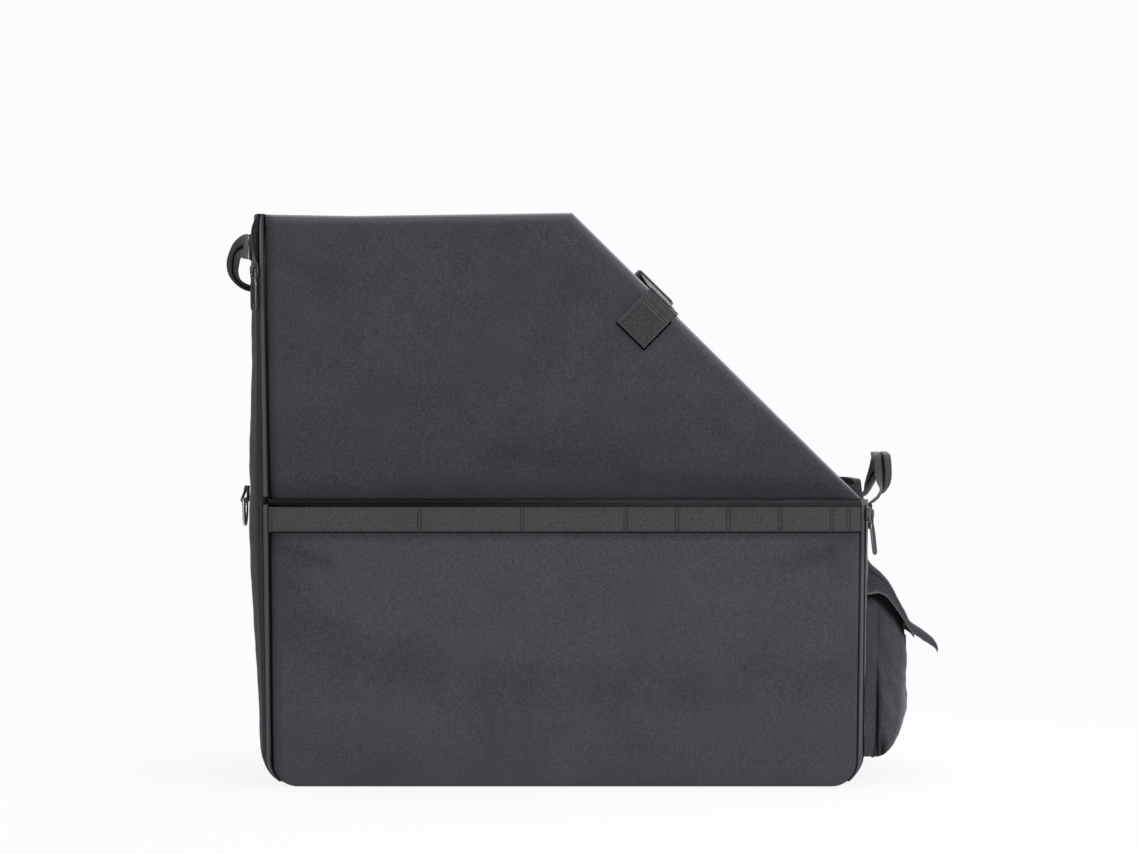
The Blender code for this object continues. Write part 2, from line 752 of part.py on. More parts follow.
def build_pull(side, frame, pivot):
    """A zip pull: a rounded plate with a window that the slider's bridge passes through."""
    middle_rise = pull_axis_rise()
    half = PULL_WIDTH / 2
    top, end = -PULL_BAR / 2, PULL_LENGTH - PULL_BAR / 2
    outline = mirrored(
        [
            (half * 0.85, top),
            (half * 0.92, top + PULL_WINDOW_LENGTH),
            (half * 0.70, top + PULL_WINDOW_LENGTH + 0.004),
            (half, top + PULL_WINDOW_LENGTH + 0.009),
            (half, end - half * 0.8),
            (half * 0.75, end - half * 0.25),
            (half * 0.30, end),
        ]
    )
    thick = (middle_rise - PULL_PLATE / 2, middle_rise + PULL_PLATE / 2)
    pull = finish(side + "_zip_pull", frame.plate(outline, thick), NICKEL, pivot)
    add_bevel(pull, 0.0003, 1, 50.0)
    cut = (thick[0] - PULL_PLATE, thick[1] + PULL_PLATE)
    window_half = PULL_WINDOW_WIDTH / 2
    window = frame.block((-window_half, window_half), cut, (PULL_BAR / 2, PULL_BAR / 2 + PULL_WINDOW_LENGTH))
    combine(pull, window, pivot, "DIFFERENCE", side + "_pull_window")
    hole_half = PULL_WIDTH / 6
    hole = frame.block((-hole_half, hole_half), cut, (end - 4 * hole_half, end - 2 * hole_half))
    combine(pull, hole, pivot, "DIFFERENCE", side + "_pull_hole")


def build_sliders(lower, upper):
    """Both zip sliders with their pulls. Each slider travels on the front panel's side of its zip."""
    for side, height, parent in (
        ("left", LEFT_SLIDER_HEIGHT, upper),
        ("right", RIGHT_SLIDER_HEIGHT, lower),
    ):
        frame = zip_frame(side, height)
        slider = Pivot(side + "_slider_travel", frame.place, parent)
        build_slider(side, frame, slider)
        hinge = Pivot(side + "_pull_hinge", frame.at(0.0, pull_axis_rise(), 0.0), slider)
        turn = math.radians(PULL_HANG[side])
        along = frame.along * math.cos(turn) + frame.outward * math.sin(turn)
        outward = frame.outward * math.cos(turn) - frame.along * math.sin(turn)
        hung = Frame(hinge.place - outward * pull_axis_rise(), frame.across, outward, along)
        build_pull(side, hung, hinge)


def build_row_webbing(face, pivot):
    """Webbing sewn across a long side below the fold, tacked flat at intervals and slack between."""
    centre_height = FOLD_HEIGHT - ROW_WEBBING_DROP - ROW_WEBBING_WIDTH / 2
    width = Vector((0.0, 0.0, ROW_WEBBING_WIDTH))
    thickness = Vector((0.0, SIGN[face] * WEB, 0.0))
    flat = FRONT_FACE + FIT + WEB / 2
    places = []
    for tack, after in zip(TACKS_FROM_TALL_END, TACKS_FROM_TALL_END[1:] + (0.0,)):
        places += [(tack - TACK_WIDTH / 2, flat), (tack + TACK_WIDTH / 2, flat)]
        if after:
            gap = after - tack
            slack = flat + ROW_CELL_RISE * min(1.0, gap / (1.5 * ROW_WEBBING_WIDTH))
            places += [(tack + gap * 0.25, slack), (tack + gap * 0.75, slack)]
    stations = []
    for x, y in places:
        stations.append((Vector((x - HALF_LENGTH, SIGN[face] * y, centre_height)), width, thickness))
    finish(face + "_row_webbing", ribbon(stations), WEBBING, pivot)


def strap_frame(face):
    """The frame at the slope's edge where the strap crosses: across is up the slope, along is inward."""
    low, up, outward = slope_edge()
    place = Vector((low.x, SIGN[face] * FRONT_FACE, low.z)) + up * strap_from_low()
    return Frame(place, up, outward, Vector((0.0, -SIGN[face], 0.0)))


def strap_from_low():
    """How far up the slope the strap crosses, from the slope's low end."""
    low, _, _ = slope_edge()
    slope = (Vector((TOP_RUN - HALF_LENGTH, 0.0, TALL_HEIGHT)) - low).length
    return slope - STRAP_ALONG_SLOPE


def build_patch(face, pivot):
    """The square patch that sews a strap's end to its panel, set square to the slope."""
    frame = strap_frame(face)
    half = PATCH_SIDE / 2
    outline = [(-half, -half), (half, -half), (half, half), (-half, half)]
    outer = -FIT - PATCH_THICKNESS
    face_points = [frame.at(u, w - PATCH_DROP, -FIT) for u, w in outline]
    patch = finish(face + "_strap_patch", prism(face_points, frame.along * -PATCH_THICKNESS), WEBBING, pivot)
    add_bevel(patch, 0.0006)
    tail_path = [
        frame.at(0.0, -PATCH_DROP + half + FIT, outer / 2),
        frame.at(0.0, -PATCH_DROP / 8, outer / 2),
        frame.at(0.0, FIT, outer / 2),
    ]
    tail = strap_along(tail_path, frame.across * STRAP_WIDTH, WEB)
    finish(face + "_strap_tail", tail, WEBBING, pivot)


def strap_route(frame, last):
    """The strap's centre line from the slope's edge in towards the buckle."""
    start = -FIT - PATCH_THICKNESS / 2
    lift = 2 * FIT + WEB / 2
    run = FRONT_FACE - last
    shares = ((0.0, 0.0), (0.06, 0.04), (0.30, 0.22), (0.62, 0.66), (0.85, 0.95), (1.0, 1.0))
    route = []
    for along, rise in shares:
        across = STRAP_SKEW * rise
        outward = lift + (STRAP_RISE - lift) * rise
        route.append(frame.at(across, outward, start + (run - start) * along))
    return route


def buckle_frame():
    """The buckle's own frame at mid depth: along runs from the male half to the female half."""
    front = strap_frame("front")
    place = front.at(STRAP_SKEW, STRAP_RISE, FRONT_FACE)
    return Frame(place, front.across, front.outward, Vector((0.0, 1.0, 0.0)))


def build_front_strap(pivot):
    """The strap half that carries the male buckle, threaded straight through its ladder bars."""
    buckle = buckle_frame()
    frame = strap_frame("front")
    male_back = MOUTH_INSET + FIT + MALE_LENGTH
    route = strap_route(frame, male_back + WEB_BAR)
    route.append(buckle.at(0.0, 0.0, -(MOUTH_INSET + FIT + MALE_LENGTH * 0.30)))
    strap = strap_along(route, frame.across * STRAP_WIDTH, WEB)
    finish("front_strap", strap, WEBBING, pivot)


def build_back_strap(pivot):
    """The strap half that carries the female buckle, looped round its bar and sewn back on itself."""
    buckle = buckle_frame()
    frame = strap_frame("back")
    end = HOUSING_LENGTH - MOUTH_INSET
    drop = WEB_BAR / 2 + FIT + WEB / 2
    near = end - WEB_BAR - 2 * FIT - WEB / 2
    route = strap_route(frame, end + 0.030)
    route += [
        buckle.at(0.0, -drop, end + 0.012),
        buckle.at(0.0, -drop, end - WEB_BAR * 0.5),
        buckle.at(0.0, -drop * 0.8, near + 0.0004),
        buckle.at(0.0, 0.0, near),
        buckle.at(0.0, drop * 0.8, near + 0.0004),
        buckle.at(0.0, drop, end - WEB_BAR * 0.5),
        buckle.at(0.0, drop, end + 0.016),
    ]
    strap = strap_along(route, frame.across * STRAP_WIDTH, WEB)
    finish("back_strap", strap, WEBBING, pivot)


def build_housing(pivot):
    """The female buckle: a waisted housing, hollow from its mouth, with side windows and a web bar."""
    frame = buckle_frame()
    half, thick = BUCKLE_WIDTH / 2, BUCKLE_THICKNESS / 2
    start, end = -MOUTH_INSET, HOUSING_LENGTH - MOUTH_INSET
    outline = mirrored(
        [
            (half * 0.86, start),
            (half * 0.98, start + 0.002),
            (half, WINDOW_START),
            (half * 0.96, WINDOW_START + WINDOW_LENGTH / 2),
            (half, WINDOW_START + WINDOW_LENGTH),
            (half, end - 0.008),
            (half * 0.96, end - 0.003),
            (half * 0.86, end),
        ]
    )
    housing = finish("buckle_female", frame.plate(outline, (-thick, thick)), PLASTIC, pivot)
    add_bevel(housing, 0.0012, 2, 50.0)
    inner_half, inner_thick = half - BUCKLE_WALL, thick - BUCKLE_SKIN
    inner_end = WINDOW_START + WINDOW_LENGTH + 0.0015
    hollow = frame.block((-inner_half, inner_half), (-inner_thick, inner_thick), (start - 0.01, inner_end))
    combine(housing, hollow, pivot, "DIFFERENCE", "housing_hollow")
    window_end = WINDOW_START + WINDOW_LENGTH
    windows = frame.block((-half * 1.2, half * 1.2), (-inner_thick, inner_thick), (WINDOW_START, window_end))
    combine(housing, windows, pivot, "DIFFERENCE", "housing_windows")
    slot_half = STRAP_WIDTH / 2 + FIT * 2
    slot_start = end - WEB_BAR - WEB_SLOT
    cut = (-2 * thick, 2 * thick)
    slot = frame.block((-slot_half, slot_half), cut, (slot_start, end - WEB_BAR))
    combine(housing, slot, pivot, "DIFFERENCE", "housing_web_slot")
    for name, low, high in (("over", WEB_BAR / 2, 2 * thick), ("under", -2 * thick, -WEB_BAR / 2)):
        relief = frame.block((-slot_half, slot_half), (low, high), (slot_start, end + 0.01))
        combine(housing, relief, pivot, "DIFFERENCE", "housing_relief_" + name)


def build_male(pivot):
    """The male buckle: ladder bars that grip the webbing, a base plate and a guide tongue."""
    frame = buckle_frame()
    half = BUCKLE_WIDTH / 2 - 0.0015
    thick = BUCKLE_THICKNESS / 2 - 0.001
    front = -(MOUTH_INSET + FIT)
    back = front - MALE_LENGTH
    outline = mirrored(
        [
            (half * 0.80, back),
            (half * 0.95, back + 0.002),
            (half, back + 0.008),
            (half, front - 0.003),
            (half * 0.92, front),
        ]
    )
    male = finish("buckle_male", frame.plate(outline, (-thick, thick)), PLASTIC, pivot)
    add_bevel(male, 0.0010, 2, 50.0)
    web_half = STRAP_WIDTH / 2 + 2 * FIT
    web_thick = WEB / 2 + FIT
    passage_end = front - MALE_NOSE
    passage = frame.block((-web_half, web_half), (-web_thick, web_thick), (back - 0.01, passage_end))
    combine(male, passage, pivot, "DIFFERENCE", "male_passage")
    slot_half = web_half - FIT
    over_span = (back + WEB_BAR, passage_end - WEB_BAR * 0.6)
    over = frame.block((-slot_half, slot_half), (0.0, 2 * thick), over_span)
    combine(male, over, pivot, "DIFFERENCE", "male_slot_over")
    middle_start = back + MIDDLE_BAR_INSET
    spans = {"first": (back - 0.02, middle_start), "second": (middle_start + MIDDLE_BAR, passage_end - FIT)}
    for name, span in spans.items():
        under = frame.block((-slot_half, slot_half), (-2 * thick, 0.0), span)
        combine(male, under, pivot, "DIFFERENCE", "male_slot_under_" + name)
    tongue_half = TONGUE_WIDTH / 2
    tongue_thick = BUCKLE_THICKNESS / 2 - BUCKLE_SKIN - 2 * FIT
    tongue_span = (front - 0.002, front + PRONG_LENGTH * 0.85)
    tongue = frame.block((-tongue_half, tongue_half), (-tongue_thick, tongue_thick), tongue_span)
    combine(male, tongue, pivot, "UNION", "male_tongue")


def prong_root():
    """Where a prong flexes, across and along the buckle."""
    return BUCKLE_WIDTH * 0.31, -(MOUTH_INSET + FIT) + FIT


def build_prong(name, sign, pivot):
    """One flexing prong: arm, release pad in the side window, and the shoulder that latches."""
    frame = buckle_frame()
    root_across, root_along = prong_root()
    arm = PRONG_WIDTH / 2
    pad = BUCKLE_WIDTH / 2 - LATCH_GAP
    shoulder = WINDOW_START + LATCH_GAP
    tip = WINDOW_START + WINDOW_LENGTH - LATCH_GAP
    thick = BUCKLE_THICKNESS / 2 - BUCKLE_SKIN - 2 * FIT
    outline = [
        (root_across - arm, root_along),
        (root_across + arm, root_along),
        (root_across + arm * 1.2, shoulder - 0.001),
        (pad, shoulder),
        (pad, shoulder + WINDOW_LENGTH * 0.45),
        (root_across + PRONG_SHOULDER, tip - 0.003),
        (root_across + arm, tip),
        (root_across - arm, tip - 0.001),
        (root_across - arm * 1.3, shoulder + 0.004),
        (root_across - arm, shoulder),
    ]
    outline = [(sign * across, along) for across, along in outline]
    prong = finish(name, frame.plate(outline, (-thick, thick)), PLASTIC, pivot)
    add_bevel(prong, 0.0004, 2, 50.0)


def build_strap_and_buckle(shell, upper):
    """The strap over the sloping opening, in two halves that the buckle joins."""
    build_patch("front", upper)
    build_patch("back", shell)
    front, back = strap_frame("front"), strap_frame("back")
    front_swing = Pivot("front_strap_hinge", strap_route(front, 0.05)[0], upper)
    back_swing = Pivot("back_strap_hinge", strap_route(back, 0.05)[0], shell)
    build_front_strap(front_swing)
    build_back_strap(back_swing)
    build_housing(back_swing)
    build_male(front_swing)
    buckle = buckle_frame()
    root_across, root_along = prong_root()
    for name, sign in (("buckle_prong_high", 1.0), ("buckle_prong_low", -1.0)):
        hinge = Pivot(name + "_flex", buckle.at(sign * root_across, 0.0, root_along), front_swing)
        build_prong(name, sign, hinge)


def build_handle(side, route, pivot):
    """A carrying handle: webbing legs that twist into a folded grip, mirrored about mid depth."""
    rows = [(Vector(centre), Vector(width), thickness) for centre, width, thickness in route]
    for centre, width, thickness in reversed(rows[:-1]):
        across = Vector((centre.x, -centre.y, centre.z))
        rows.append((across, Vector((width.x, -width.y, width.z)), thickness))
    stations = []
    for index, (centre, width, thickness) in enumerate(rows):
        before, after = rows[max(index - 1, 0)][0], rows[min(index + 1, len(rows) - 1)][0]
        tangent = (after - before).normalized()
        square = (width - tangent * width.dot(tangent)).normalized() * width.length
        stations.append((centre, square, tangent.cross(square).normalized() * thickness))
    finish(side + "_handle", ribbon(stations), WEBBING, pivot, 50.0)


def build_anchor(side, name, y, height, shell):
    """The sewn-down end of a handle's webbing, flat on the crowned end cover."""
    low, high = height - ANCHOR_HEIGHT / 2, height + ANCHOR_HEIGHT / 2
    ends = (y - ANCHOR_LENGTH / 2, y + ANCHOR_LENGTH / 2)
    reach = max(end_surface(side, at, z) for at in ends for z in (low, high)) + FIT
    sign = SIGN[side]
    corners = [(ends[0], low), (ends[1], low), (ends[1], high), (ends[0], high)]
    face = [Vector((sign * reach, at, z)) for at, z in corners]
    anchor = finish(name, prism(face, (sign * WEB, 0.0, 0.0)), WEBBING, shell)
    add_bevel(anchor, 0.0004)
    return reach + WEB


def build_handles(shell):
    """Both carrying handles: the tall end's droops outward, the low end's stands up."""
    span, leg, grip = HANDLE_HALF_SPAN, HANDLE_WEBBING, HANDLE_GRIP
    thin, thick, fold = HANDLE_HINGE_THICKNESS, HANDLE_THICKNESS, GRIP_THICKNESS
    for side, height in (("left", LEFT_HANDLE_HEIGHT), ("right", RIGHT_HANDLE_HEIGHT)):
        anchor_height = height if side == "left" else height - ANCHOR_HEIGHT / 2 - FIT
        reach = 0.0
        for place, y in (("front", -span), ("back", span)):
            name = side + "_handle_anchor_" + place
            reach = max(reach, build_anchor(side, name, y, anchor_height, shell))
        if side == "left":
            x = -(reach + FIT + thin / 2)
            pivot = Pivot("left_handle_hinge", (x, 0.0, height + LEFT_HINGE_RISE), shell)
            bow, drop = x - LEFT_HANDLE_REACH, height - LEFT_HANDLE_DROP
            folded = leg / 2
            route = [
                ((x, -span - 0.013, height), (0, 0, leg), thin),
                ((x - 0.0018, -span - 0.006, height + 0.0005), (0, 0, leg), thick * 0.7),
                ((x - 0.0055, -span + 0.001, height + 0.0005), (0, 0, leg * 0.96), thick),
                ((x - 0.0100, -span + 0.006, height - 0.001), (-0.001, 0, leg * 0.80), fold * 0.6),
                ((x - 0.0150, -span + 0.012, height - 0.005), (-0.007, 0.001, folded), fold * 0.8),
                ((bow, -span + 0.019, height - 0.014), (-folded, 0, 0.004), fold),
                ((bow, -span + 0.027, height - 0.025), (-folded, 0, -0.001), fold),
                ((bow + 0.0030, -span + 0.038, drop + 0.006), (-0.011, 0, -0.006), fold),
                ((x - 0.0100, -span * 0.25, drop + 0.001), (-0.006, 0, -0.011), fold),
                ((x - 0.0045, 0.0, drop), (0, 0, -folded), fold),
            ]
        else:
            x = reach - WEB / 2
            hinge = (reach + RIGHT_HINGE_OFFSET, 0.0, height + RIGHT_HINGE_OFFSET)
            pivot = Pivot("right_handle_hinge", hinge, shell)
            top = height + RIGHT_HANDLE_RISE
            out = x + RIGHT_HANDLE_LEAN
            route = [
                ((x, -span, height), (0, leg, 0), thin),
                ((x + 0.0030, -span, height + 0.0045), (0.001, leg, 0), thick),
                ((x + 0.0072, -span, height + 0.0095), (0.005, leg * 0.94, 0), thick),
                ((x + 0.0112, -span + 0.001, height + 0.0160), (0.0115, leg * 0.68, 0), thick),
                ((out - 0.0005, -span + 0.003, height + 0.0250), (0.0150, 0.008, 0), fold * 0.7),
                ((out + 0.0013, -span + 0.008, height + 0.0360), (grip, 0.002, 0), fold * 0.9),
                ((out + 0.0013, -span + 0.018, top - 0.0035), (grip, -0.002, 0), fold),
                ((out + 0.0005, -span * 0.43, top - 0.0004), (grip, 0, 0), fold),
                ((out, 0.0, top), (grip, 0, 0), fold),
            ]
        build_handle(side, route, pivot)


def build_ring(shell):
    """A nickel D-ring that hangs from a webbing tab on the tall end."""
    surface = end_surface("left", RING_Y, RING_BAR_HEIGHT)
    rod = RING_ROD / 2
    wrap = rod + FIT + WEB / 2
    centre_x = -(surface + FIT + WEB / 2 + wrap)
    bar = Vector((centre_x, RING_Y, RING_BAR_HEIGHT))
    back = Vector((-(surface + FIT + WEB / 2), RING_Y, RING_BAR_HEIGHT + RING_TAB_LENGTH))
    path = [back, Vector((back.x, RING_Y, RING_BAR_HEIGHT))]
    for degrees in (40, 90, 140, 180):
        angle = math.radians(degrees)
        offset = Vector((wrap * math.cos(angle), 0.0, -wrap * math.sin(angle)))
        path.append(bar + offset)
    path.append(Vector((back.x - 2 * WEB, RING_Y, RING_BAR_HEIGHT + RING_TAB_LENGTH * 0.6)))
    path.append(Vector((back.x - WEB - FIT, RING_Y, RING_BAR_HEIGHT + RING_TAB_LENGTH)))
    tab = strap_along(path, Vector((0.0, RING_TAB_WIDTH, 0.0)), WEB)
    finish("ring_tab", tab, WEBBING, shell)
    pivot = Pivot("d_ring_hinge", bar, shell)
    curve = bpy.data.curves.new("d_ring", "CURVE")
    curve.dimensions = "3D"
    curve.bevel_depth = rod
    curve.bevel_resolution = 1
    half = RING_WIDTH / 2
    outline = [(-half * 0.85, 0.0), (half * 0.85, 0.0), (half, -rod * 1.5)]
    for step in range(1, 8):
        angle = math.radians(180.0 * step / 8)
        outline.append((half * math.cos(angle), -rod * 3 - (RING_HEIGHT - rod * 3) * math.sin(angle)))
    outline.append((-half, -rod * 1.5))
    spline = curve.splines.new("POLY")
    spline.points.add(len(outline) - 1)
    for point, (y, z) in zip(spline.points, outline):
        point.co = (0.0, y, z, 1.0)
    spline.use_cyclic_u = True
    ring = bpy.data.objects.new("d_ring", curve)
    curve.materials.append(make_material(NICKEL))
    bpy.context.scene.collection.objects.link(ring)
    ring.parent = pivot.empty


def pocket_front(height):
    """How far the pocket stands off the end at a height, before its bulge."""
    share = min((height - POCKET_FOOT) / ((POCKET_MOUTH - POCKET_FOOT) * 0.6), 1.0)
    return POCKET_DEPTH * math.sqrt(1 - (1 - share) ** 2)


def pocket_bulge(y, height):
    """How much further the pocket's front stands out between its sides. It is drawn in at the mouth."""
    share = (height - POCKET_FOOT) / (POCKET_MOUTH - POCKET_FOOT)
    swell = pocket_front(height) / POCKET_DEPTH * (1 - 0.7 * share**3)
    return POCKET_BULGE * swell * (1 - (y / POCKET_HALF) ** 2)


def pocket_ring(height, wall, rise=0.0):
    """A section of the pocket: a back that follows the end, pleated sides and a bulging front.

    It is level, or climbs by the rise from its front to its back.
    """
    half = POCKET_HALF - wall
    depth = pocket_front(height)
    seats = [BAND_HALF * share for share in CROWN_COLUMNS[1:]]
    back_places = [-half, *[-seat for seat in seats], 0.0, *seats[::-1], half]
    back = [(end_surface("right", y, height + rise) + FIT + wall, y) for y in back_places]
    base = end_surface("right", 0.0, height) + FIT
    pleat = PLEAT_DEPTH * depth / POCKET_DEPTH
    corner = POCKET_CORNER * depth / POCKET_DEPTH
    front = base + depth - wall
    side = [
        (base + depth * 0.12 + wall, half - pleat),
        (base + depth * 0.28 + wall, half),
        (front - corner, half - pleat * 0.2),
        (front - corner * 0.3, half - pleat * 0.2 - corner * 0.3),
    ]
    face = []
    for y in (half - corner * 1.3, half / 2, 0.0, -half / 2, -(half - corner * 1.3)):
        face.append((front + pocket_bulge(y, height), y))
    ring = back + side + face + [(x, -y) for x, y in reversed(side)]
    points = []
    for x, y in ring:
        share = min(max((front - x) / depth, 0.0), 1.0)
        points.append(Vector((x, y, height + rise * share)))
    return points


def build_pocket(shell):
    """The bellows pocket: an open-topped canvas box on the low end, with a loop strip near its mouth."""
    rise = POCKET_MOUTH - POCKET_FOOT
    shares = (0.015, 0.06, 0.14, 0.26, 0.42, 0.60, 0.80)
    rings = [pocket_ring(POCKET_FOOT + rise * share, 0.0) for share in shares]
    rings.append(pocket_ring(POCKET_MOUTH, 0.0, POCKET_SIDE_RISE))
    body = finish("pocket_body", loft(rings), CANVAS, shell, 45.0)
    inner = (0.05, 0.10, 0.18, 0.30, 0.45, 0.62, 0.80)
    inner_rings = [pocket_ring(POCKET_FOOT + rise * share, POCKET_WALL) for share in inner]
    inner_rings.append(pocket_ring(POCKET_MOUTH, POCKET_WALL, POCKET_SIDE_RISE))
    inner_rings.append([point + Vector((0.0, 0.0, 0.01)) for point in inner_rings[-1]])
    combine(body, loft(inner_rings), shell, "DIFFERENCE", "pocket_hollow")
    heights = (POCKET_MOUTH - 1.4 * FASTENER_WIDTH, POCKET_MOUTH - 0.4 * FASTENER_WIDTH)
    off = FIT + FASTENER_THICKNESS / 2
    stations = []
    for y in (-FASTENER_HALF, -POCKET_HALF / 2, 0.0, POCKET_HALF / 2, FASTENER_HALF):
        edges = []
        for height in heights:
            front = end_surface("right", 0.0, height) + FIT + pocket_front(height)
            edges.append(Vector((front + pocket_bulge(y, height) + 1.5 * off, y, height)))
        width = edges[1] - edges[0]
        stations.append(((edges[0] + edges[1]) / 2, width, Vector((-FASTENER_THICKNESS, 0.0, 0.0))))
    finish("pocket_loop_strip", ribbon(stations), HOOK_TAPE, shell)


def flap_profile():
    """The flap from its sewn edge to its lip: (reach off the end, drop of its top, depth of its wing)."""
    return (
        (0.0, 0.0, 0.0421),
        (0.010, 0.0163, 0.0318),
        (0.021, 0.0342, 0.0243),
        (0.031, 0.0540, 0.0177),
        (0.038, 0.0659, 0.0116),
        (0.048, 0.0729, 0.0096),
        (0.0595, 0.0818, 0.0062),
        (0.0640, 0.0905, 0.0045),
    )


def build_flap(shell):
    """The pocket's flap: a canvas sheet with side wings, flared at its lip, and its hook strip."""
    start = end_surface("right", 0.0, FLAP_HINGE_HEIGHT) + 2 * FIT
    half = POCKET_HALF + FLAP_OVERHANG
    pivot = Pivot("pocket_flap_hinge", (start, 0.0, FLAP_HINGE_HEIGHT), shell)
    rows = flap_profile()
    rings = []
    centres = []
    for index, (reach, drop, wing) in enumerate(rows):
        before, after = rows[max(index - 1, 0)], rows[min(index + 1, len(rows) - 1)]
        steep = (after[1] - before[1]) / (after[0] - before[0])
        thick = FLAP_CLOTH * math.hypot(1.0, steep)
        top = FLAP_HINGE_HEIGHT - drop
        inner_half = half - FLAP_CLOTH
        bottom = top - max(wing, thick + 0.0004)
        section = [
            (-half, bottom),
            (-half, top),
            (half, top),
            (half, bottom),
            (inner_half, bottom),
            (inner_half, top - thick),
            (-inner_half, top - thick),
            (-inner_half, bottom),
        ]
        rings.append([Vector((start + reach, y, z)) for y, z in section])
        centres.append(Vector((start + reach, 0.0, top - thick)))
    finish("pocket_flap", loft(rings), CANVAS, pivot)
    path = []
    for first, second, share in ((3, 4, 0.6), (4, 5, 0.0), (5, 6, 0.0), (5, 6, 0.6)):
        place = centres[first].lerp(centres[second], share)
        lean = (centres[second] - centres[first]).cross(Vector((0.0, 1.0, 0.0))).normalized()
        path.append(place + lean * (FASTENER_THICKNESS / 2 + 2 * FIT) * (1.0 if lean.z < 0 else -1.0))
    strip = strap_along(path, Vector((0.0, 2 * FASTENER_HALF, 0.0)), FASTENER_THICKNESS)
    finish("flap_hook_strip", strip, HOOK_TAPE, pivot)


def build_cover():
    """The whole cover, from its base up."""
    clear_scene()
    shell = Pivot("shell", (0.0, 0.0, 0.0))
    lower = Pivot("front_drop_hinge", (0.0, -FRONT_FACE, 0.0), shell)
    fold_place = (0.0, -(FRONT_FACE + 2 * WEB), FOLD_HEIGHT)
    upper = Pivot("front_fold_hinge", fold_place, lower)
    build_base(shell)
    fold_low, fold_high = FOLD_HEIGHT - FOLD_GAP, FOLD_HEIGHT + FOLD_GAP
    stiffened_panel("front_lower", lower_outline(), fold_low, "front", lower)
    stiffened_panel("front_upper", upper_outline(), fold_high, "front", upper)
    stiffened_panel("back_lower", lower_outline(), fold_low, "back", shell)
    stiffened_panel("back_upper", upper_outline(), fold_high, "back", shell)
    build_fold_cloth("front", lower)
    build_fold_cloth("back", shell)
    for side in ("left", "right"):
        build_end(side, shell)
        build_back_corner(side, shell)
    build_zips(shell, lower, upper)
    build_sliders(lower, upper)
    build_row_webbing("front", lower)
    build_row_webbing("back", shell)
    build_strap_and_buckle(shell, upper)
    build_handles(shell)
    build_ring(shell)
    build_pocket(shell)
    build_flap(shell)


if __name__ == "__main__":
    build_cover()
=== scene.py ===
import logging
import math
from dataclasses import dataclass, field
from enum import Enum
from typing import Callable

import bmesh
import bpy
from mathutils import Matrix, Vector, noise


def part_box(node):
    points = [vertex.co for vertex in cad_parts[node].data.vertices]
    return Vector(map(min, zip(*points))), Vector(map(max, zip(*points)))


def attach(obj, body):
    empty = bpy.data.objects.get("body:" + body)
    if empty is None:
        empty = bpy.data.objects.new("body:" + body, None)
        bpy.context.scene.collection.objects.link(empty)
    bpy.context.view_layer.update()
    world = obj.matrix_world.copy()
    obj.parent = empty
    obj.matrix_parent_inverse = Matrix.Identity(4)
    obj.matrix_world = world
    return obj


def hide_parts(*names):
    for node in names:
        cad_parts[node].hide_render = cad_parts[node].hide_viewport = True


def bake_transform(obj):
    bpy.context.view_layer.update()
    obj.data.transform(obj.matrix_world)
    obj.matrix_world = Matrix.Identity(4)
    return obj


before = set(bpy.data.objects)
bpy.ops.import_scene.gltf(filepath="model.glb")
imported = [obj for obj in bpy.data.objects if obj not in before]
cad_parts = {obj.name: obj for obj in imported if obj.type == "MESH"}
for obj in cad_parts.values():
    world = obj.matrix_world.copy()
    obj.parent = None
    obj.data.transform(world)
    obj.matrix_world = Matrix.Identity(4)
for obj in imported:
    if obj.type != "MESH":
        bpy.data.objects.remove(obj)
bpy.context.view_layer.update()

LOG = logging.getLogger("bike_cover")

MM = 0.001
FIT = 0.0003  # between a sewn piece and the cloth under it
LEFT, RIGHT, FRONT, BACK = "left", "right", "front", "back"
SIGN = {LEFT: -1.0, RIGHT: 1.0, FRONT: -1.0, BACK: 1.0}

BMesh = bmesh.types.BMesh
Material = bpy.types.Material
Socket = bpy.types.NodeSocket
Point = Callable[[float, float], Vector]
Tone = Callable[[float, float], float]
Run = list[tuple[Vector, Vector]]


# Small sums that the pieces share

def smoothstep(low: float, high: float, at: float) -> float:
    """Rises smoothly from 0 at low to 1 at high."""
    share = min(max((at - low) / (high - low), 0.0), 1.0)
    return share * share * (3 - 2 * share)


def fall(low: float, high: float, at: float) -> float:
    """Falls smoothly from 1 at low to 0 at high."""
    return 1 - smoothstep(low, high, at)


def hump(at: float, middle: float, width: float) -> float:
    """A soft bump: 1 in its middle, 0.37 at its width."""
    return math.exp(-((at - middle) / width) ** 2)


def blunt(value: float, power: float) -> float:
    """A sine or cosine raised to a power with its sign kept, which squares a round section."""
    return math.copysign(abs(value) ** power, value)


def interpolate(table: tuple, at: float) -> float:
    """Reads a table of (place, value) rows, whose places rise, straight between its rows.

    Args:
        table: The rows.
        at: The place.

    Returns:
        The value there, or the nearest end's value outside the table.
    """
    if at <= table[0][0]:
        return table[0][1]
    for (low, first), (high, second) in zip(table, table[1:]):
        if at <= high:
            return first + (second - first) * (at - low) / (high - low)
    return table[-1][1]


def between(a: Vector, b: Vector, c: Vector, d: Vector, share: float) -> Vector:
    """A point on the Catmull-Rom curve from b to c."""
    return (b * 2 + (c - a) * share + (a * 2 - b * 5 + c * 4 - d) * share**2
            + (b * 3 - a - c * 3 + d) * share**3) * 0.5


def curve_through(knots: list, at: float) -> Vector:
    """A point on the smooth open curve through evenly counted knots.

    Args:
        knots: Vectors of any equal size.
        at: How far along, from 0 to 1.

    Returns:
        The point.
    """
    span = at * (len(knots) - 1)
    first = min(int(span), len(knots) - 2)
    b, c = knots[first], knots[first + 1]
    a = knots[first - 1] if first else b * 2 - c
    d = knots[first + 2] if first + 2 < len(knots) else c * 2 - b
    return between(a, b, c, d, span - first)


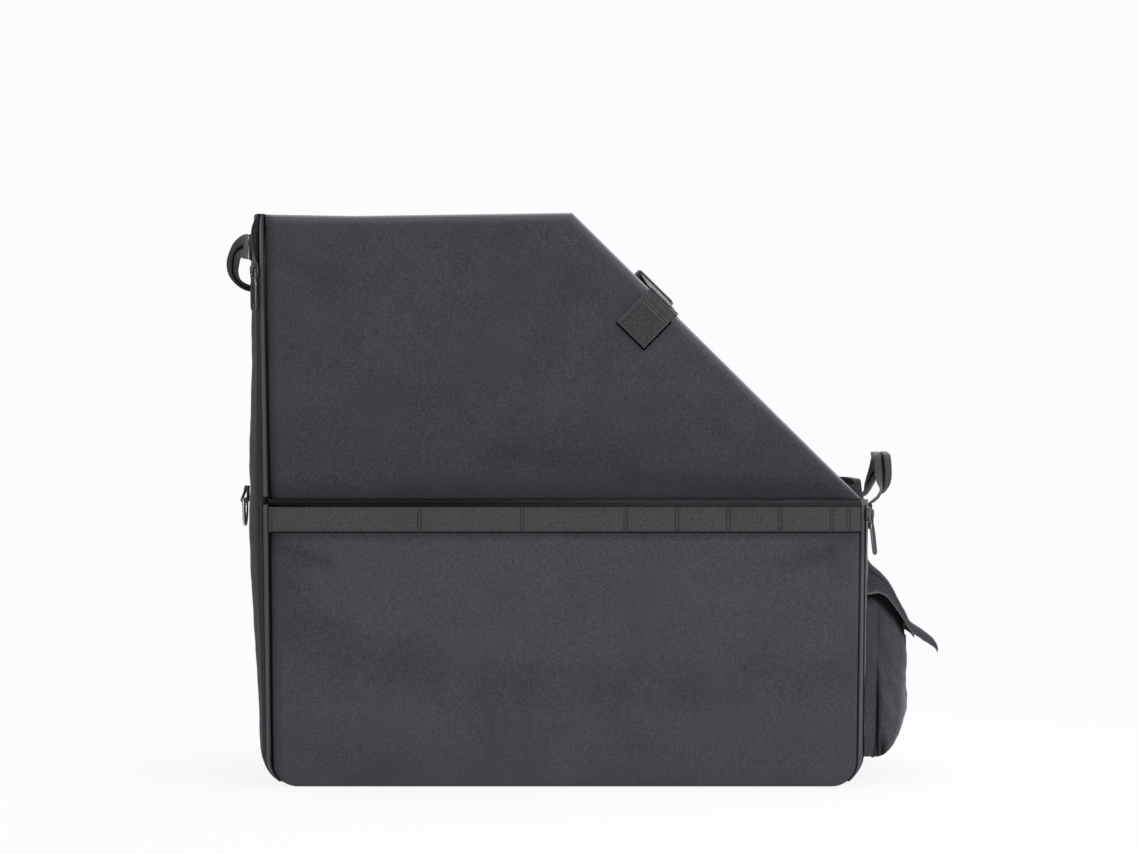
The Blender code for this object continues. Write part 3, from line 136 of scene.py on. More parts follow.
def rounded(points: list) -> list:
    """Cuts the corners off a run of points twice and keeps its ends.

    Args:
        points: The run.

    Returns:
        The rounded run.
    """
    for _ in range(2):
        cut = [points[0]]
        for first, second in zip(points, points[1:]):
            cut += [first.lerp(second, 0.25), first.lerp(second, 0.75)]
        points = cut + [points[-1]]
    return points


def crumple(place: Vector, size: float, height: float) -> float:
    """Soft, uneven relief of cloth.

    Args:
        place: Where, in metres.
        size: The wrinkles' spacing, in metres.
        height: Their height either way, in metres.

    Returns:
        The relief, in metres.
    """
    return noise.fractal(place / size, 0.9, 2.1, 3) * height


def edge_distance(outline: list[Vector], x: float, z: float, closed: bool = True) -> float:
    """How far a place lies from the nearest edge of an outline.

    Args:
        outline: The outline's (x, z) points.
        x: The place's x.
        z: The place's height.
        closed: Whether the last point is joined to the first.

    Returns:
        The distance, in metres.
    """
    best = 1.0
    place = Vector((x, z))
    for first, second in zip(outline, outline[1:] + outline[:1] if closed else outline[1:]):
        along = second - first
        share = min(max((place - first).dot(along) / along.length_squared, 0.0), 1.0)
        best = min(best, (place - first - along * share).length)
    return best


# Finishes

class Weave(Enum):
    """How a cloth's threads cross."""

    PLAIN = "plain"
    TWILL = "twill"


class Follow(Enum):
    """What a pattern follows: the bag's own axes, or a strap's run."""

    UPRIGHT = "upright"
    LEVEL = "level"
    STRAP = "strap"


def linear(colour: str) -> tuple[float, float, float, float]:
    """An sRGB hex colour as linear values."""
    values = [int(colour[at:at + 2], 16) / 255 for at in (1, 3, 5)]
    return (*[v / 12.92 if v <= 0.04045 else ((v + 0.055) / 1.055) ** 2.4 for v in values], 1.0)


@dataclass
class Nodes:
    """Adds nodes to the tree of a material or of the world."""

    tree: bpy.types.NodeTree

    def add(self, kind: str, inputs: dict | tuple = (), output: int | str = 0,
            **settings: object) -> Socket | None:
        """Adds a node.

        Args:
            kind: The node's type, without its prefix.
            inputs: Values or other nodes' outputs, in order or by the input's name or number.
            output: The name or number of the output that is wanted.
            settings: The node's own settings.

        Returns:
            That output, or None for a node without any.
        """
        node = self.tree.nodes.new("ShaderNode" + kind)
        for name, value in settings.items():
            setattr(node, name, value)
        for name, value in (inputs if isinstance(inputs, dict) else dict(enumerate(inputs))).items():
            if isinstance(value, Socket):
                self.tree.links.new(value, node.inputs[name])
            else:
                node.inputs[name].default_value = value
        return node.outputs[output] if node.outputs else None

    def math(self, operation: str, *values: Socket | float, **settings: object) -> Socket:
        """Adds a sum of one to three values."""
        return self.add("Math", values, operation=operation, **settings)

    def mix(self, share: Socket, first: Socket | str, second: str) -> Socket:
        """Mixes two colours, of which the first may be a socket."""
        first = linear(first) if isinstance(first, str) else first
        return self.add("Mix", {0: share, 6: first, 7: linear(second)}, 2, data_type="RGBA")

    def noise(self, place: Socket, size: float, detail: float, roughness: float = 0.5) -> Socket:
        """Adds noise whose grains have a size in millimetres."""
        return self.add("TexNoise", {"Vector": place, "Scale": 1 / (size * MM), "Detail": detail,
                                     "Roughness": roughness})

    def surface(self, relief: Socket, distance: float, strength: float, inputs: dict) -> None:
        """Ends a material's tree.

        Args:
            relief: The relief, from 0 to 1.
            distance: Its height, in millimetres.
            strength: How much of it shows.
            inputs: The shader's other inputs.
        """
        bump = self.add("Bump", {"Height": relief, "Distance": distance * MM, "Strength": strength})
        shader = self.add("BsdfPrincipled", inputs | {"Normal": bump})
        self.add("OutputMaterial", {"Surface": shader})


def blank_material(name: str) -> tuple[Material, Nodes]:
    """Makes a material whose tree is empty.

    Args:
        name: Its name.

    Returns:
        The material and its nodes.
    """
    material = bpy.data.materials.new(name)
    material.use_nodes = True
    material.node_tree.nodes.clear()
    return material, Nodes(material.node_tree)


@dataclass(frozen=True)
class Cloth:
    """A woven cloth, whose colour, sheen and relief come from its threads, with painted light and shade
    over them.

    Its tones are the base, the light and the pale colour for abrasion and painted highlights. Its
    thread, in millimetres, is drawn up to twice as wide as a real one, so that it shows.
    """

    name: str
    slot: str
    tones: tuple[str, str, str]
    thread: float
    weave: Weave = Weave.PLAIN
    follow: Follow = Follow.UPRIGHT
    roughness: float = 0.92
    sheen: float = 0.22
    relief: float = 0.10
    speckle: float = 1.0
    cloud: float = 0.24

    def build(self) -> Material:
        """Makes the material. Its vertex attribute paints highlights and abrasion above 0 and shade
        below it, where it also takes away the sheen and the gloss.

        Returns:
            The material.
        """
        material, nodes = blank_material(self.name)
        base, light, worn_and_highlight = self.tones
        place = nodes.add("TexCoord", output="Object")
        height = self.threads(nodes, place)
        grain = nodes.noise(place, 1.35, 2.0, 0.6)
        cloud = nodes.noise(place, 45, 4.0, 0.6)
        share = nodes.math("MULTIPLY_ADD", height, 0.20, 0.22)
        for value, weight in ((grain, self.speckle), (cloud, self.cloud)):
            lifted = nodes.math("SUBTRACT", value, 0.5)
            share = nodes.math("MULTIPLY_ADD", lifted, weight * 2.2, share)
        wear_and_painted_light = nodes.add("Attribute", output="Fac", attribute_name="wear_and_painted_light")
        # Painted shade below 0 goes to near black and loses sheen; above 0 paints highlight and
        # abrasion.
        crease_shade = nodes.math("MULTIPLY", wear_and_painted_light, -1.0, use_clamp=True)
        colour = nodes.mix(crease_shade, nodes.mix(wear_and_painted_light, nodes.mix(share, base, light), worn_and_highlight), "#060607")
        nap, gloss = (nodes.math("MULTIPLY_ADD", crease_shade, -full, full) for full in (self.sheen, 0.22))
        nodes.surface(nodes.math("MULTIPLY_ADD", grain, 0.9, height), self.relief, 0.6, {
            "Base Color": colour, "Roughness": self.roughness, "Sheen Weight": nap,
            "Sheen Roughness": 0.45, "IOR": 1.45, "Specular IOR Level": gloss})
        return material

    def threads(self, nodes: Nodes, place: Socket) -> Socket:
        """The threads' relief.

        Args:
            nodes: The material's nodes.
            place: The place on the bag, in metres.

        Returns:
            The socket that carries it, from 0 to 1.
        """
        source = nodes.add("UVMap", uv_map="strap") if self.follow is Follow.STRAP else place
        across, along = (nodes.add("SeparateXYZ", (source,), axis) for axis in (0, 1))
        if self.follow is Follow.UPRIGHT:
            across = nodes.math("ADD", across, along)
            along = nodes.add("SeparateXYZ", (source,), 2)
        turn = 2 * math.pi / (self.thread * MM)
        drift = nodes.math("MULTIPLY", nodes.noise(place, 6, 2.0), 5.0)
        warp, weft = (nodes.math("MULTIPLY_ADD", run, turn, drift) for run in (across, along))
        if self.weave is Weave.TWILL:
            ribs = nodes.math("SINE", nodes.math("ADD", warp, weft))
            cross = nodes.math("SINE", nodes.math("MULTIPLY", warp, 2.0))
            total = nodes.math("MULTIPLY_ADD", cross, 0.35, ribs)
            return nodes.math("MULTIPLY_ADD", total, 0.37, 0.5)
        total = nodes.math("MULTIPLY", nodes.math("SINE", warp), nodes.math("SINE", weft))
        return nodes.math("MULTIPLY_ADD", total, 0.5, 0.5)


@dataclass(frozen=True)
class Hard:
    """A moulded plastic, thread, board or plated metal: fine grain, scuffs and pale edges, which are
    partly abrasion and partly a painted highlight.

    Its tones are the base, the light and the colour of the pale edges, and its grain is in millimetres.
    """

    name: str
    slot: str
    tones: tuple[str, str, str]
    grain: float
    roughness: float = 0.45
    relief: float = 0.03
    metal: bool = False
    edge_wear_and_highlight: float = 0.4

    def build(self) -> Material:
        """Makes the material.

        Returns:
            The material.
        """
        material, nodes = blank_material(self.name)
        base, light, worn_and_highlight = self.tones
        place = nodes.add("TexCoord", output="Object")
        grain = nodes.noise(place, self.grain, 3.0)
        scuff = nodes.noise(place, 7, 5.0, 0.7)
        share = nodes.math("MULTIPLY_ADD", scuff, 0.7, nodes.math("MULTIPLY", grain, 0.3))
        # An edge is where the rounded normal turns away from the flat one, and there the colour turns
        # pale:
        # partly abrasion, partly a painted highlight
        soft = nodes.add("Bevel", {"Radius": 0.7 * MM}, samples=4)
        flat = nodes.add("NewGeometry", output="Normal")
        match = nodes.add("VectorMath", (soft, flat), "Value", operation="DOT_PRODUCT")
        edge = nodes.add("MapRange", {"Value": match, "From Min": 0.99, "From Max": 0.80,
                                      "To Min": 0.0, "To Max": self.edge_wear_and_highlight})
        rough = nodes.math("MULTIPLY_ADD", scuff, 0.18, self.roughness - 0.09)
        nodes.surface(grain, self.relief, 0.4, {
            "Base Color": nodes.mix(edge, nodes.mix(share, base, light), worn_and_highlight), "Roughness": rough,
            **({"Metallic": 1.0} if self.metal else {"IOR": 1.48})})
        return material


CANVAS_TONES = ("#303033", "#49484c", "#88878b")
# Polyester canvas, plain woven from spun yarn: matt, with a fine fleck
CANVAS = Cloth("polyester_canvas", "canvas", CANVAS_TONES, 1.1)
# The same canvas where it lies level, under the floor of the bag
FLOOR_CANVAS = Cloth("polyester_canvas_level", "canvas", CANVAS_TONES, 1.1, follow=Follow.LEVEL)
# Polypropylene webbing: a diagonal rib with a slight waxy sheen
WEBBING = Cloth("polypropylene_webbing", "webbing", ("#2e2e30", "#4e4e50", "#868688"), 1.3,
                Weave.TWILL, Follow.STRAP, roughness=0.72, relief=0.22, speckle=0.75, cloud=0.15)
# Zip tape: a tight polyester herringbone
TAPE = Cloth("zip_tape", "webbing", ("#2f2e31", "#4a494c", "#88878b"), 0.9,
             Weave.TWILL, Follow.STRAP, roughness=0.85, relief=0.10, speckle=0.7)
# Nylon taffeta lining: nearly black, smooth, with a faint sheen
LINING = Cloth("nylon_taffeta_lining", "lining", ("#0b0b0c", "#171719", "#29292b"), 0.7,
               roughness=0.70, sheen=0.05, relief=0.05, speckle=0.25)
# Bonded polyester thread: a shade lighter than the cloth that it holds
THREAD = Hard("bonded_polyester_thread", "canvas", ("#39393c", "#5a595d", "#6a696d"), 0.4, 0.6)
# The same thread worn pale, where it is sewn double round the patches
PALE_THREAD = Hard("pale_polyester_thread", "canvas", ("#5c5b60", "#7a797e", "#8b8a8f"), 0.4, 0.6)
# Near-black thread at the webbing's tacks: its darkness also paints the shade in the grooves that it
# pulls in
DARK_THREAD_AND_SHADE = Hard("black_thread_and_groove_shade", "canvas", ("#0c0c0d", "#1c1c1e", "#242426"), 0.4, 0.7)
# Acetal, moulded and lightly textured: deep black with a soft shine, and pale edges that are partly
# abrasion and partly a painted highlight
ACETAL = Hard("black_acetal", "black_plastic", ("#131314", "#29292b", "#8d8c90"), 0.35, 0.38,
              0.02, edge_wear_and_highlight=0.5)
# Nylon coil of the zips: smooth and dark
COIL = Hard("nylon_coil", "webbing", ("#1b1b1c", "#343436", "#454547"), 0.5, 0.5)
# Zinc die casting in black nickel: dark and glossy, bright along its edges: a painted highlight,
# and some abrasion
GUNMETAL = Hard("black_nickel_zinc", "nickel", ("#2a2a2c", "#4b4b4e", "#d2d1d4"), 0.5, 0.32,
                0.012, True, 0.9)
# Bright nickel on steel wire
NICKEL = Hard("bright_nickel_wire", "nickel", ("#8f8c89", "#c9c6c2", "#e4e2df"), 0.5, 0.22,
              0.012, True, 0.3)
# Hook and loop tape: short dense pile that swallows light
PILE = Hard("hook_and_loop_pile", "hook_tape", ("#101011", "#2a2a2c", "#333335"), 0.6, 0.95, 0.4)
# Pressed fibre board inside the panels
BOARD = Hard("pressed_fibre_board", "stiffener", ("#8a7f6e", "#a89c88", "#b7ac99"), 1.2, 0.85, 0.08)


# Meshes

def boundary(bm: BMesh) -> list[bmesh.types.BMEdge]:
    """A mesh's open edges."""
    return [edge for edge in bm.edges if edge.is_boundary]


def face_outwards(bm: BMesh, outward: Vector) -> None:
    """Turns an open sheet's faces to one side."""
    if sum(face.normal.dot(outward) for face in bm.faces) < 0:
        bmesh.ops.reverse_faces(bm, faces=bm.faces)


def mapped_grid(surface: Point, columns: int, rows: int, size: tuple[float, float],
                closed: bool = False, tone: Tone = lambda u, w: 0.0) -> BMesh:
    """A grid laid on a surface, with a UV map in metres.

    Args:
        surface: Gives the point at two shares from 0 to 1.
        columns: Faces along the first share.
        rows: Faces along the second share.
        size: The surface's size along each share, in metres.
        closed: Whether the first share comes back to its start and open ends are filled.
        tone: Gives the painted light and abrasion at two shares: above 0 paler, below 0 painted shade.

    Returns:
        The mesh.
    """
    bm = bmesh.new()
    layer = bm.loops.layers.uv.new("strap")
    wear_and_painted_light = bm.verts.layers.float.new("wear_and_painted_light")
    bmesh.ops.create_grid(bm, x_segments=columns, y_segments=rows, size=0.5, calc_uvs=True)
    for face in bm.faces:
        for loop in face.loops:
            share = loop.vert.co
            loop[layer].uv = ((share.x + 0.5) * size[0], (share.y + 0.5) * size[1])
    for vert in bm.verts:
        u, w = vert.co.x + 0.5, vert.co.y + 0.5
        vert[wear_and_painted_light] = tone(u, w)
        vert.co = surface(u, w)
    if closed:
        bmesh.ops.remove_doubles(bm, verts=bm.verts, dist=1e-7)
        bmesh.ops.holes_fill(bm, edges=boundary(bm), sides=0)
    bmesh.ops.recalc_face_normals(bm, faces=bm.faces)
    return bm


def loft(sections: list[list[Vector]], size: tuple[float, float], closed: bool = True,
         tone: Tone = lambda u, w: 0.0) -> BMesh:
    """A skin through sections of equal counts.

    Args:
        sections: The sections' points, in order.
        size: The skin's size round the sections and along them, in metres.
        closed: Whether each section closes on itself.
        tone: Gives the painted light and abrasion at two shares.

    Returns:
        The mesh.
    """
    rows, count = len(sections) - 1, len(sections[0])
    around = count if closed else count - 1

    def surface(turn: float, along: float) -> Vector:
        """A place on the skin."""
        return sections[round(along * rows)][round(turn * around) % count]

    return mapped_grid(surface, around, rows, size, closed, tone)


def plate(surface: Point, cells: int, size: tuple[float, float], outward: Vector, rear: float,
          tone: Tone = lambda u, w: 0.0) -> BMesh:
    """A sewn-on plate of webbing: a dented face, with sides that go straight back to a flat rear.

    Args:
        surface: Gives the face's point at two shares.
        cells: Faces along each share.
        size: The face's size, in metres.
        outward: The unit vector out of the face, along an axis.
        rear: Where the rear lies along that axis.
        tone: Gives the painted light and abrasion at two shares.

    Returns:
        The mesh.
    """
    bm = mapped_grid(surface, cells, cells, size, tone=tone)
    face_outwards(bm, outward)
    axis = 0 if outward.x else 1
    for item in bmesh.ops.extrude_edge_only(bm, edges=boundary(bm))["geom"]:
        if isinstance(item, bmesh.types.BMVert):
            item.co[axis] = rear
    bmesh.ops.holes_fill(bm, edges=boundary(bm), sides=0)
    bmesh.ops.recalc_face_normals(bm, faces=bm.faces)
    return bm


def slice_up(bm: BMesh, axis: int, low: float, high: float, count: int) -> None:
    """Cuts a mesh into equal slices along an axis.

    Args:
        bm: The mesh.
        axis: The axis's number.
        low: Where the first slice starts.
        high: Where the last one ends.
        count: How many there are.
    """
    for step in range(1, count):
        place, normal = Vector(), Vector()
        place[axis] = low + (high - low) * step / count
        normal[axis] = 1.0
        bmesh.ops.bisect_plane(bm, geom=[*bm.verts, *bm.edges, *bm.faces], dist=1e-5,
                               plane_co=place, plane_no=normal)


def thicken(bm: BMesh, outward: Vector, thickness: float) -> None:
    """Turns an open sheet's faces to one side and gives it thickness behind them.

    Args:
        bm: The sheet.
        outward: That side.
        thickness: Its thickness, in metres.
    """
    face_outwards(bm, outward)
    bm.normal_update()
    bmesh.ops.solidify(bm, geom=[*bm.verts, *bm.edges, *bm.faces], thickness=thickness)


def beads(turns: list[Matrix]) -> BMesh:
    """Small rounded beads, one for each placement of a ball of radius 1.

    Args:
        turns: The placements.

    Returns:
        All the beads as one mesh.
    """
    ball = bmesh.new()
    bmesh.ops.create_uvsphere(ball, u_segments=6, v_segments=4, radius=1.0)
    mesh = bpy.data.meshes.new("bead")
    bm = bmesh.new()
    for turn in turns:
        bead = ball.copy()
        bead.transform(turn)
        bead.to_mesh(mesh)
        bead.free()
        bm.from_mesh(mesh)
    ball.free()
    bpy.data.meshes.remove(mesh)
    return bm


@dataclass
class Ribbon:
    """A strap of webbing on a smooth route, with thicker selvedges.

    Its rows are (centre, width vector, thickness). Its seam is a groove down its middle, as a share of
    its thickness.
    """

    rows: list
    steps: int
    around: int = 32
    seam: float = 0.0
    wave: float = 0.0002
    seed: float = 0.0

    def station(self, share: float) -> tuple[Vector, Vector, Vector, float, float]:
        """The strap at a share of its route.

        Args:
            share: From 0 to 1.

        Returns:
            Its centre, the unit vectors across and out of it, its width and its thickness.
        """
        centres = [row[0] for row in self.rows]
        ahead, behind = min(share + 0.004, 1.0), max(share - 0.004, 0.0)
        tangent = (curve_through(centres, ahead) - curve_through(centres, behind)).normalized()
        width = curve_through([row[1] for row in self.rows], share)
        thick = curve_through([Vector((row[2], 0)) for row in self.rows], share).x
        across = (width - tangent * width.dot(tangent)).normalized()
        return (curve_through(centres, share), across, tangent.cross(across), width.length,
                max(thick, 0.6 * MM))

    def section(self, share: float) -> list[Vector]:
        """The strap's section at a share of its route.

        Args:
            share: From 0 to 1.

        Returns:
            The points round it.
        """
        centre, across, normal, span, thick = self.station(share)
        ring = []
        for turn in range(self.around):
            angle = 2 * math.pi * turn / self.around
            c, s = math.cos(angle), math.sin(angle)
            a = span / 2 * blunt(c, 0.5)
            b = thick / 2 * blunt(s, 0.45)
            b *= 1 + 0.25 * hump(abs(a) / span, 0.445, 0.03)
            if self.seam:
                b *= 1 - self.seam * hump(a, 0.0, 1.1 * MM) * smoothstep(0.08, 0.2, share)
            b += crumple(Vector((share * 7 + self.seed, c, s * 0.3)), 0.6, self.wave)
            ring.append(centre + across * a + normal * b)
        return ring

    def mesh(self) -> BMesh:
        """Makes the closed mesh.

        Returns:
            The mesh.
        """
        shares = [step / self.steps for step in range(self.steps + 1)]
        centres = [self.station(share)[0] for share in shares]
        length = sum((second - first).length for first, second in zip(centres, centres[1:]))
        width = self.rows[len(self.rows) // 2][1].length

        def tone(turn: float, along: float) -> float:
            """Pale selvedges and painted shade in the groove of the middle seam."""
            c = abs(math.cos(2 * math.pi * turn))
            seam_shade = self.seam and c < 0.08 and 0.1 < along < 0.9
            return 0.35 * smoothstep(0.90, 0.99, c) - (1.1 if seam_shade else 0.0)

        return loft([self.section(share) for share in shares], (2 * width, length), tone=tone)

    def stitch_run(self, offset: float, start: float, end: float, side: float) -> Run:
        """Places and normals of a seam along the strap.

        Args:
            offset: How far from its middle, as a share of its width.
            start: The share of the route where it starts.
            end: Where it ends.
            side: 1 or -1, for the face that it lies on.

        Returns:
            The run of (place, normal).
        """
        run = []
        for step in range(61):
            centre, across, normal, span, thick = self.station(start + (end - start) * step / 60)
            run.append((centre + across * span * offset + normal * side * thick / 2, normal * side))
        return run


@dataclass
class Maker:
    """Turns meshes into pieces that ride on the cover's bodies."""

    materials: dict = field(default_factory=dict)

    def material(self, finish: Cloth | Hard) -> Material:
        """Finds a finish's material, which is made once.

        Args:
            finish: The finish.

        Returns:
            Its material.
        """
        if finish not in self.materials:
            self.materials[finish] = finish.build()
        return self.materials[finish]

    def piece(self, name: str, bm: BMesh, finish: Cloth | Hard, body: str = "",
              replaces: tuple[str, ...] = (), soft: float = 60.0, inner: Cloth | None = None,
              slot: str = "") -> bpy.types.Object:
        """Makes an object from a mesh in place, dresses it and seats it on its body.

        Args:
            name: The piece's name.
            bm: Its mesh, which is used up.
            finish: Its finish.
            body: The body that it rides on, or nothing for a piece that lies between two, left without
                one.
            replaces: The solids that it stands for.
            soft: The sharpest edge that is still shaded smooth, in degrees.
            inner: A second finish, for faces with material number 1.
            slot: Another slot of the record than the finish's own. It is not used.

        Returns:
            The object.
        """
        mesh = bpy.data.meshes.new(name)
        bm.to_mesh(mesh)
        bm.free()
        for layer in (finish, inner):
            if layer:
                mesh.materials.append(self.material(layer))
        mesh.shade_smooth()
        mesh.set_sharp_from_angle(angle=math.radians(soft))
        obj = bpy.data.objects.new(name, mesh)
        bpy.context.scene.collection.objects.link(obj)
        slot or finish.slot
        if body:
            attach(obj, body)
        if replaces:
            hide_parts(*replaces)
        LOG.info("%s: %d faces", name, len(mesh.polygons))
        return obj

    def dress(self, nodes: tuple[str, ...], finish: Hard) -> None:
        """Gives solids that stay their finish.

        Args:
            nodes: The solids' names.
            finish: Their finish.
        """
        for node in nodes:
            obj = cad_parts[node]
            obj.data.materials.clear()
            obj.data.materials.append(self.material(finish))
            obj.data.shade_smooth()
            obj.data.set_sharp_from_angle(angle=math.radians(35.0))
            LOG.info("%s: kept as its solid", node)

    def stitches(self, name: str, runs: list[Run], body: str, thick: float, length: float = 2.4,
                 pitch: float = 3.2, thread: Hard = THREAD) -> None:
        """Rows of stitches as small raised beads of thread.

        Args:
            name: The piece's name.
            runs: Lists of (place, outward normal), in order along each seam.
            body: The body that they ride on.
            thick: The thread's thickness, in millimetres.
            length: One stitch's length, in millimetres.
            pitch: The distance from one to the next, in millimetres.
            thread: The thread.
        """
        thick, length, pitch = thick * MM, length * MM, pitch * MM
        turns = []
        for run in runs:
            spare = 0.0
            for (start, normal), (end, _) in zip(run, run[1:]):
                along = end - start
                reach = along.length
                if reach < 1e-6:
                    continue
                along /= reach
                side = normal.cross(along).normalized()
                up = along.cross(side).normalized()
                turn = Matrix((along, side, up)).transposed().to_4x4()
                scale = Matrix.Diagonal((length / 2, thick / 2, thick / 2, 1.0))
                while spare <= reach:
                    place = Matrix.Translation(start + along * spare + normal * thick * 0.12)
                    turns.append(place @ turn @ scale)
                    spare += pitch
                spare -= reach
        self.piece(name, beads(turns), thread, body)


# Shapes of the bag that several pieces follow

@dataclass
class BagShape:
    """The bag's outline: where its seams, ends and faces lie.

    The tables seams and ends are read by height, and the ends' rows are (share of the height, set-in,
    share of the crown).
    """

    half_length: float = 0.300
    half_depth: float = 0.150
    tall: float = 0.560
    low: float = 0.298
    fold: float = 0.279
    fold_gap: float = 0.004
    top_run: float = 0.312
    corner: float = 0.024
    foot_radius: float = 0.035
    foot_gap: float = 0.001
    panel: float = 0.0063
    strip_depth: float = 0.012
    seam_gap: dict = field(default_factory=lambda: {LEFT: 0.0022, RIGHT: 0.0010})
    crown: float = 0.012
    seams: dict = field(default_factory=lambda: {
        LEFT: ((0.0, 0.018), (0.279, 0.015), (0.560, 0.010)),
        RIGHT: ((0.0, 0.010), (0.279, 0.006), (0.560, 0.006))})
    zips: dict = field(default_factory=lambda: {LEFT: (0.0050, 0.0122), RIGHT: (0.0020, 0.0046)})
    ends: dict = field(default_factory=lambda: {
        LEFT: ((0.0, 0.0090, 0.50), (0.15, 0.0076, 0.60), (0.24, 0.0054, 0.75), (0.33, 0.0024, 0.80),
               (0.43, 0.0002, 0.80), (0.54, 0.0000, 0.80), (0.71, 0.0018, 0.78), (0.90, 0.0020, 0.75),
               (1.0, 0.0040, 0.70)),
        RIGHT: ((0.0, 0.0022, 0.30), (0.27, 0.0026, 0.42), (0.50, 0.0022, 0.50), (0.84, 0.0006, 0.60),
                (1.0, 0.0, 0.60))})

    @property
    def band(self) -> float:
        """Half of an end's width between its corner strips."""
        return self.half_depth - self.strip_depth

    @property
    def slope_top(self) -> float:
        """The x of the sloping edge's high end."""
        return self.top_run - self.half_length

    def height_of(self, side: str) -> float:
        """An end's height."""
        return self.tall if side == LEFT else self.low

    def seam(self, side: str, height: float) -> float:
        """How far from the middle a long side's corner seam lies."""
        return self.half_length - interpolate(self.seams[side], height)

    def end(self, side: str, height: float) -> float:
        """How far from the middle an end's corner edge lies."""
        rows = tuple((share * self.height_of(side), set_in) for share, set_in, _ in self.ends[side])
        return self.half_length - interpolate(rows, height)

    def crown_at(self, side: str, height: float) -> float:
        """How far an end's crown stands out at a height, in its middle."""
        rows = tuple((share * self.height_of(side), crown) for share, _, crown in self.ends[side])
        return self.crown * interpolate(rows, height)

    def end_face(self, side: str, y: float, height: float) -> float:
        """How far from the middle an end's crowned face lies."""
        return self.end(side, height) + self.crown_at(side, height) * (1 - abs(y / self.band) ** 6)

    def zip_line(self, side: str, height: float) -> float:
        """How far from the middle a corner's centre line lies.

        Args:
            side: Left or right.
            height: The height.

        Returns:
            The distance, in metres.
        """
        top, foot = self.zips[side]
        share = (height - self.foot_radius) / (self.height_of(side) - self.foot_radius)
        return self.half_length - (foot + (top - foot) * share)

    def lower_outline(self) -> list[Vector]:
        """The outline of a long side below its fold.

        Returns:
            Its (x, z) points, anticlockwise.
        """
        top = self.fold - self.fold_gap
        points = []
        for side in (LEFT, RIGHT):
            gap = self.seam_gap[side]
            reach = self.seam(side, self.corner) - gap
            arc = [Vector((SIGN[side] * (self.seam(side, top) - gap), top))]
            for step in range(13):
                turn = math.radians(7.5 * step)
                arc.append(Vector((SIGN[side] * (reach - self.corner * (1 - math.cos(turn))),
                                   0.2 * MM + self.corner * (1 - math.sin(turn)))))
            points += arc if side == LEFT else arc[::-1]
        return points

    def upper_outline(self) -> list[Vector]:
        """The outline of a long side above its fold, with the slope cut across it.

        Returns:
            Its (x, z) points, anticlockwise from the tall end.
        """
        foot, gap = self.fold + 0.0022, self.seam_gap[LEFT]
        return [Vector((gap - self.seam(LEFT, self.tall), self.tall - 0.0015)),
                Vector((gap - self.seam(LEFT, foot), foot)),
                Vector((self.seam(RIGHT, foot), foot)),
                Vector((self.slope_top, self.tall)),
                Vector((0.100 - self.half_length, self.tall - 0.003))]

    def slope(self) -> tuple[Vector, Vector, Vector]:
        """The sloping edge.

        Returns:
            Its low end, its high end and the unit vector square to it, outwards.
        """
        low = Vector((self.seam(RIGHT, self.fold), 0.0, self.fold + self.fold_gap))
        high = Vector((self.slope_top, 0.0, self.tall))
        up = (high - low).normalized()
        return low, high, Vector((up.z, 0.0, -up.x))


@dataclass
class Part:
    """A sub-assembly. It shares the maker and the bag's shape with the others."""

    maker: Maker
    shape: BagShape


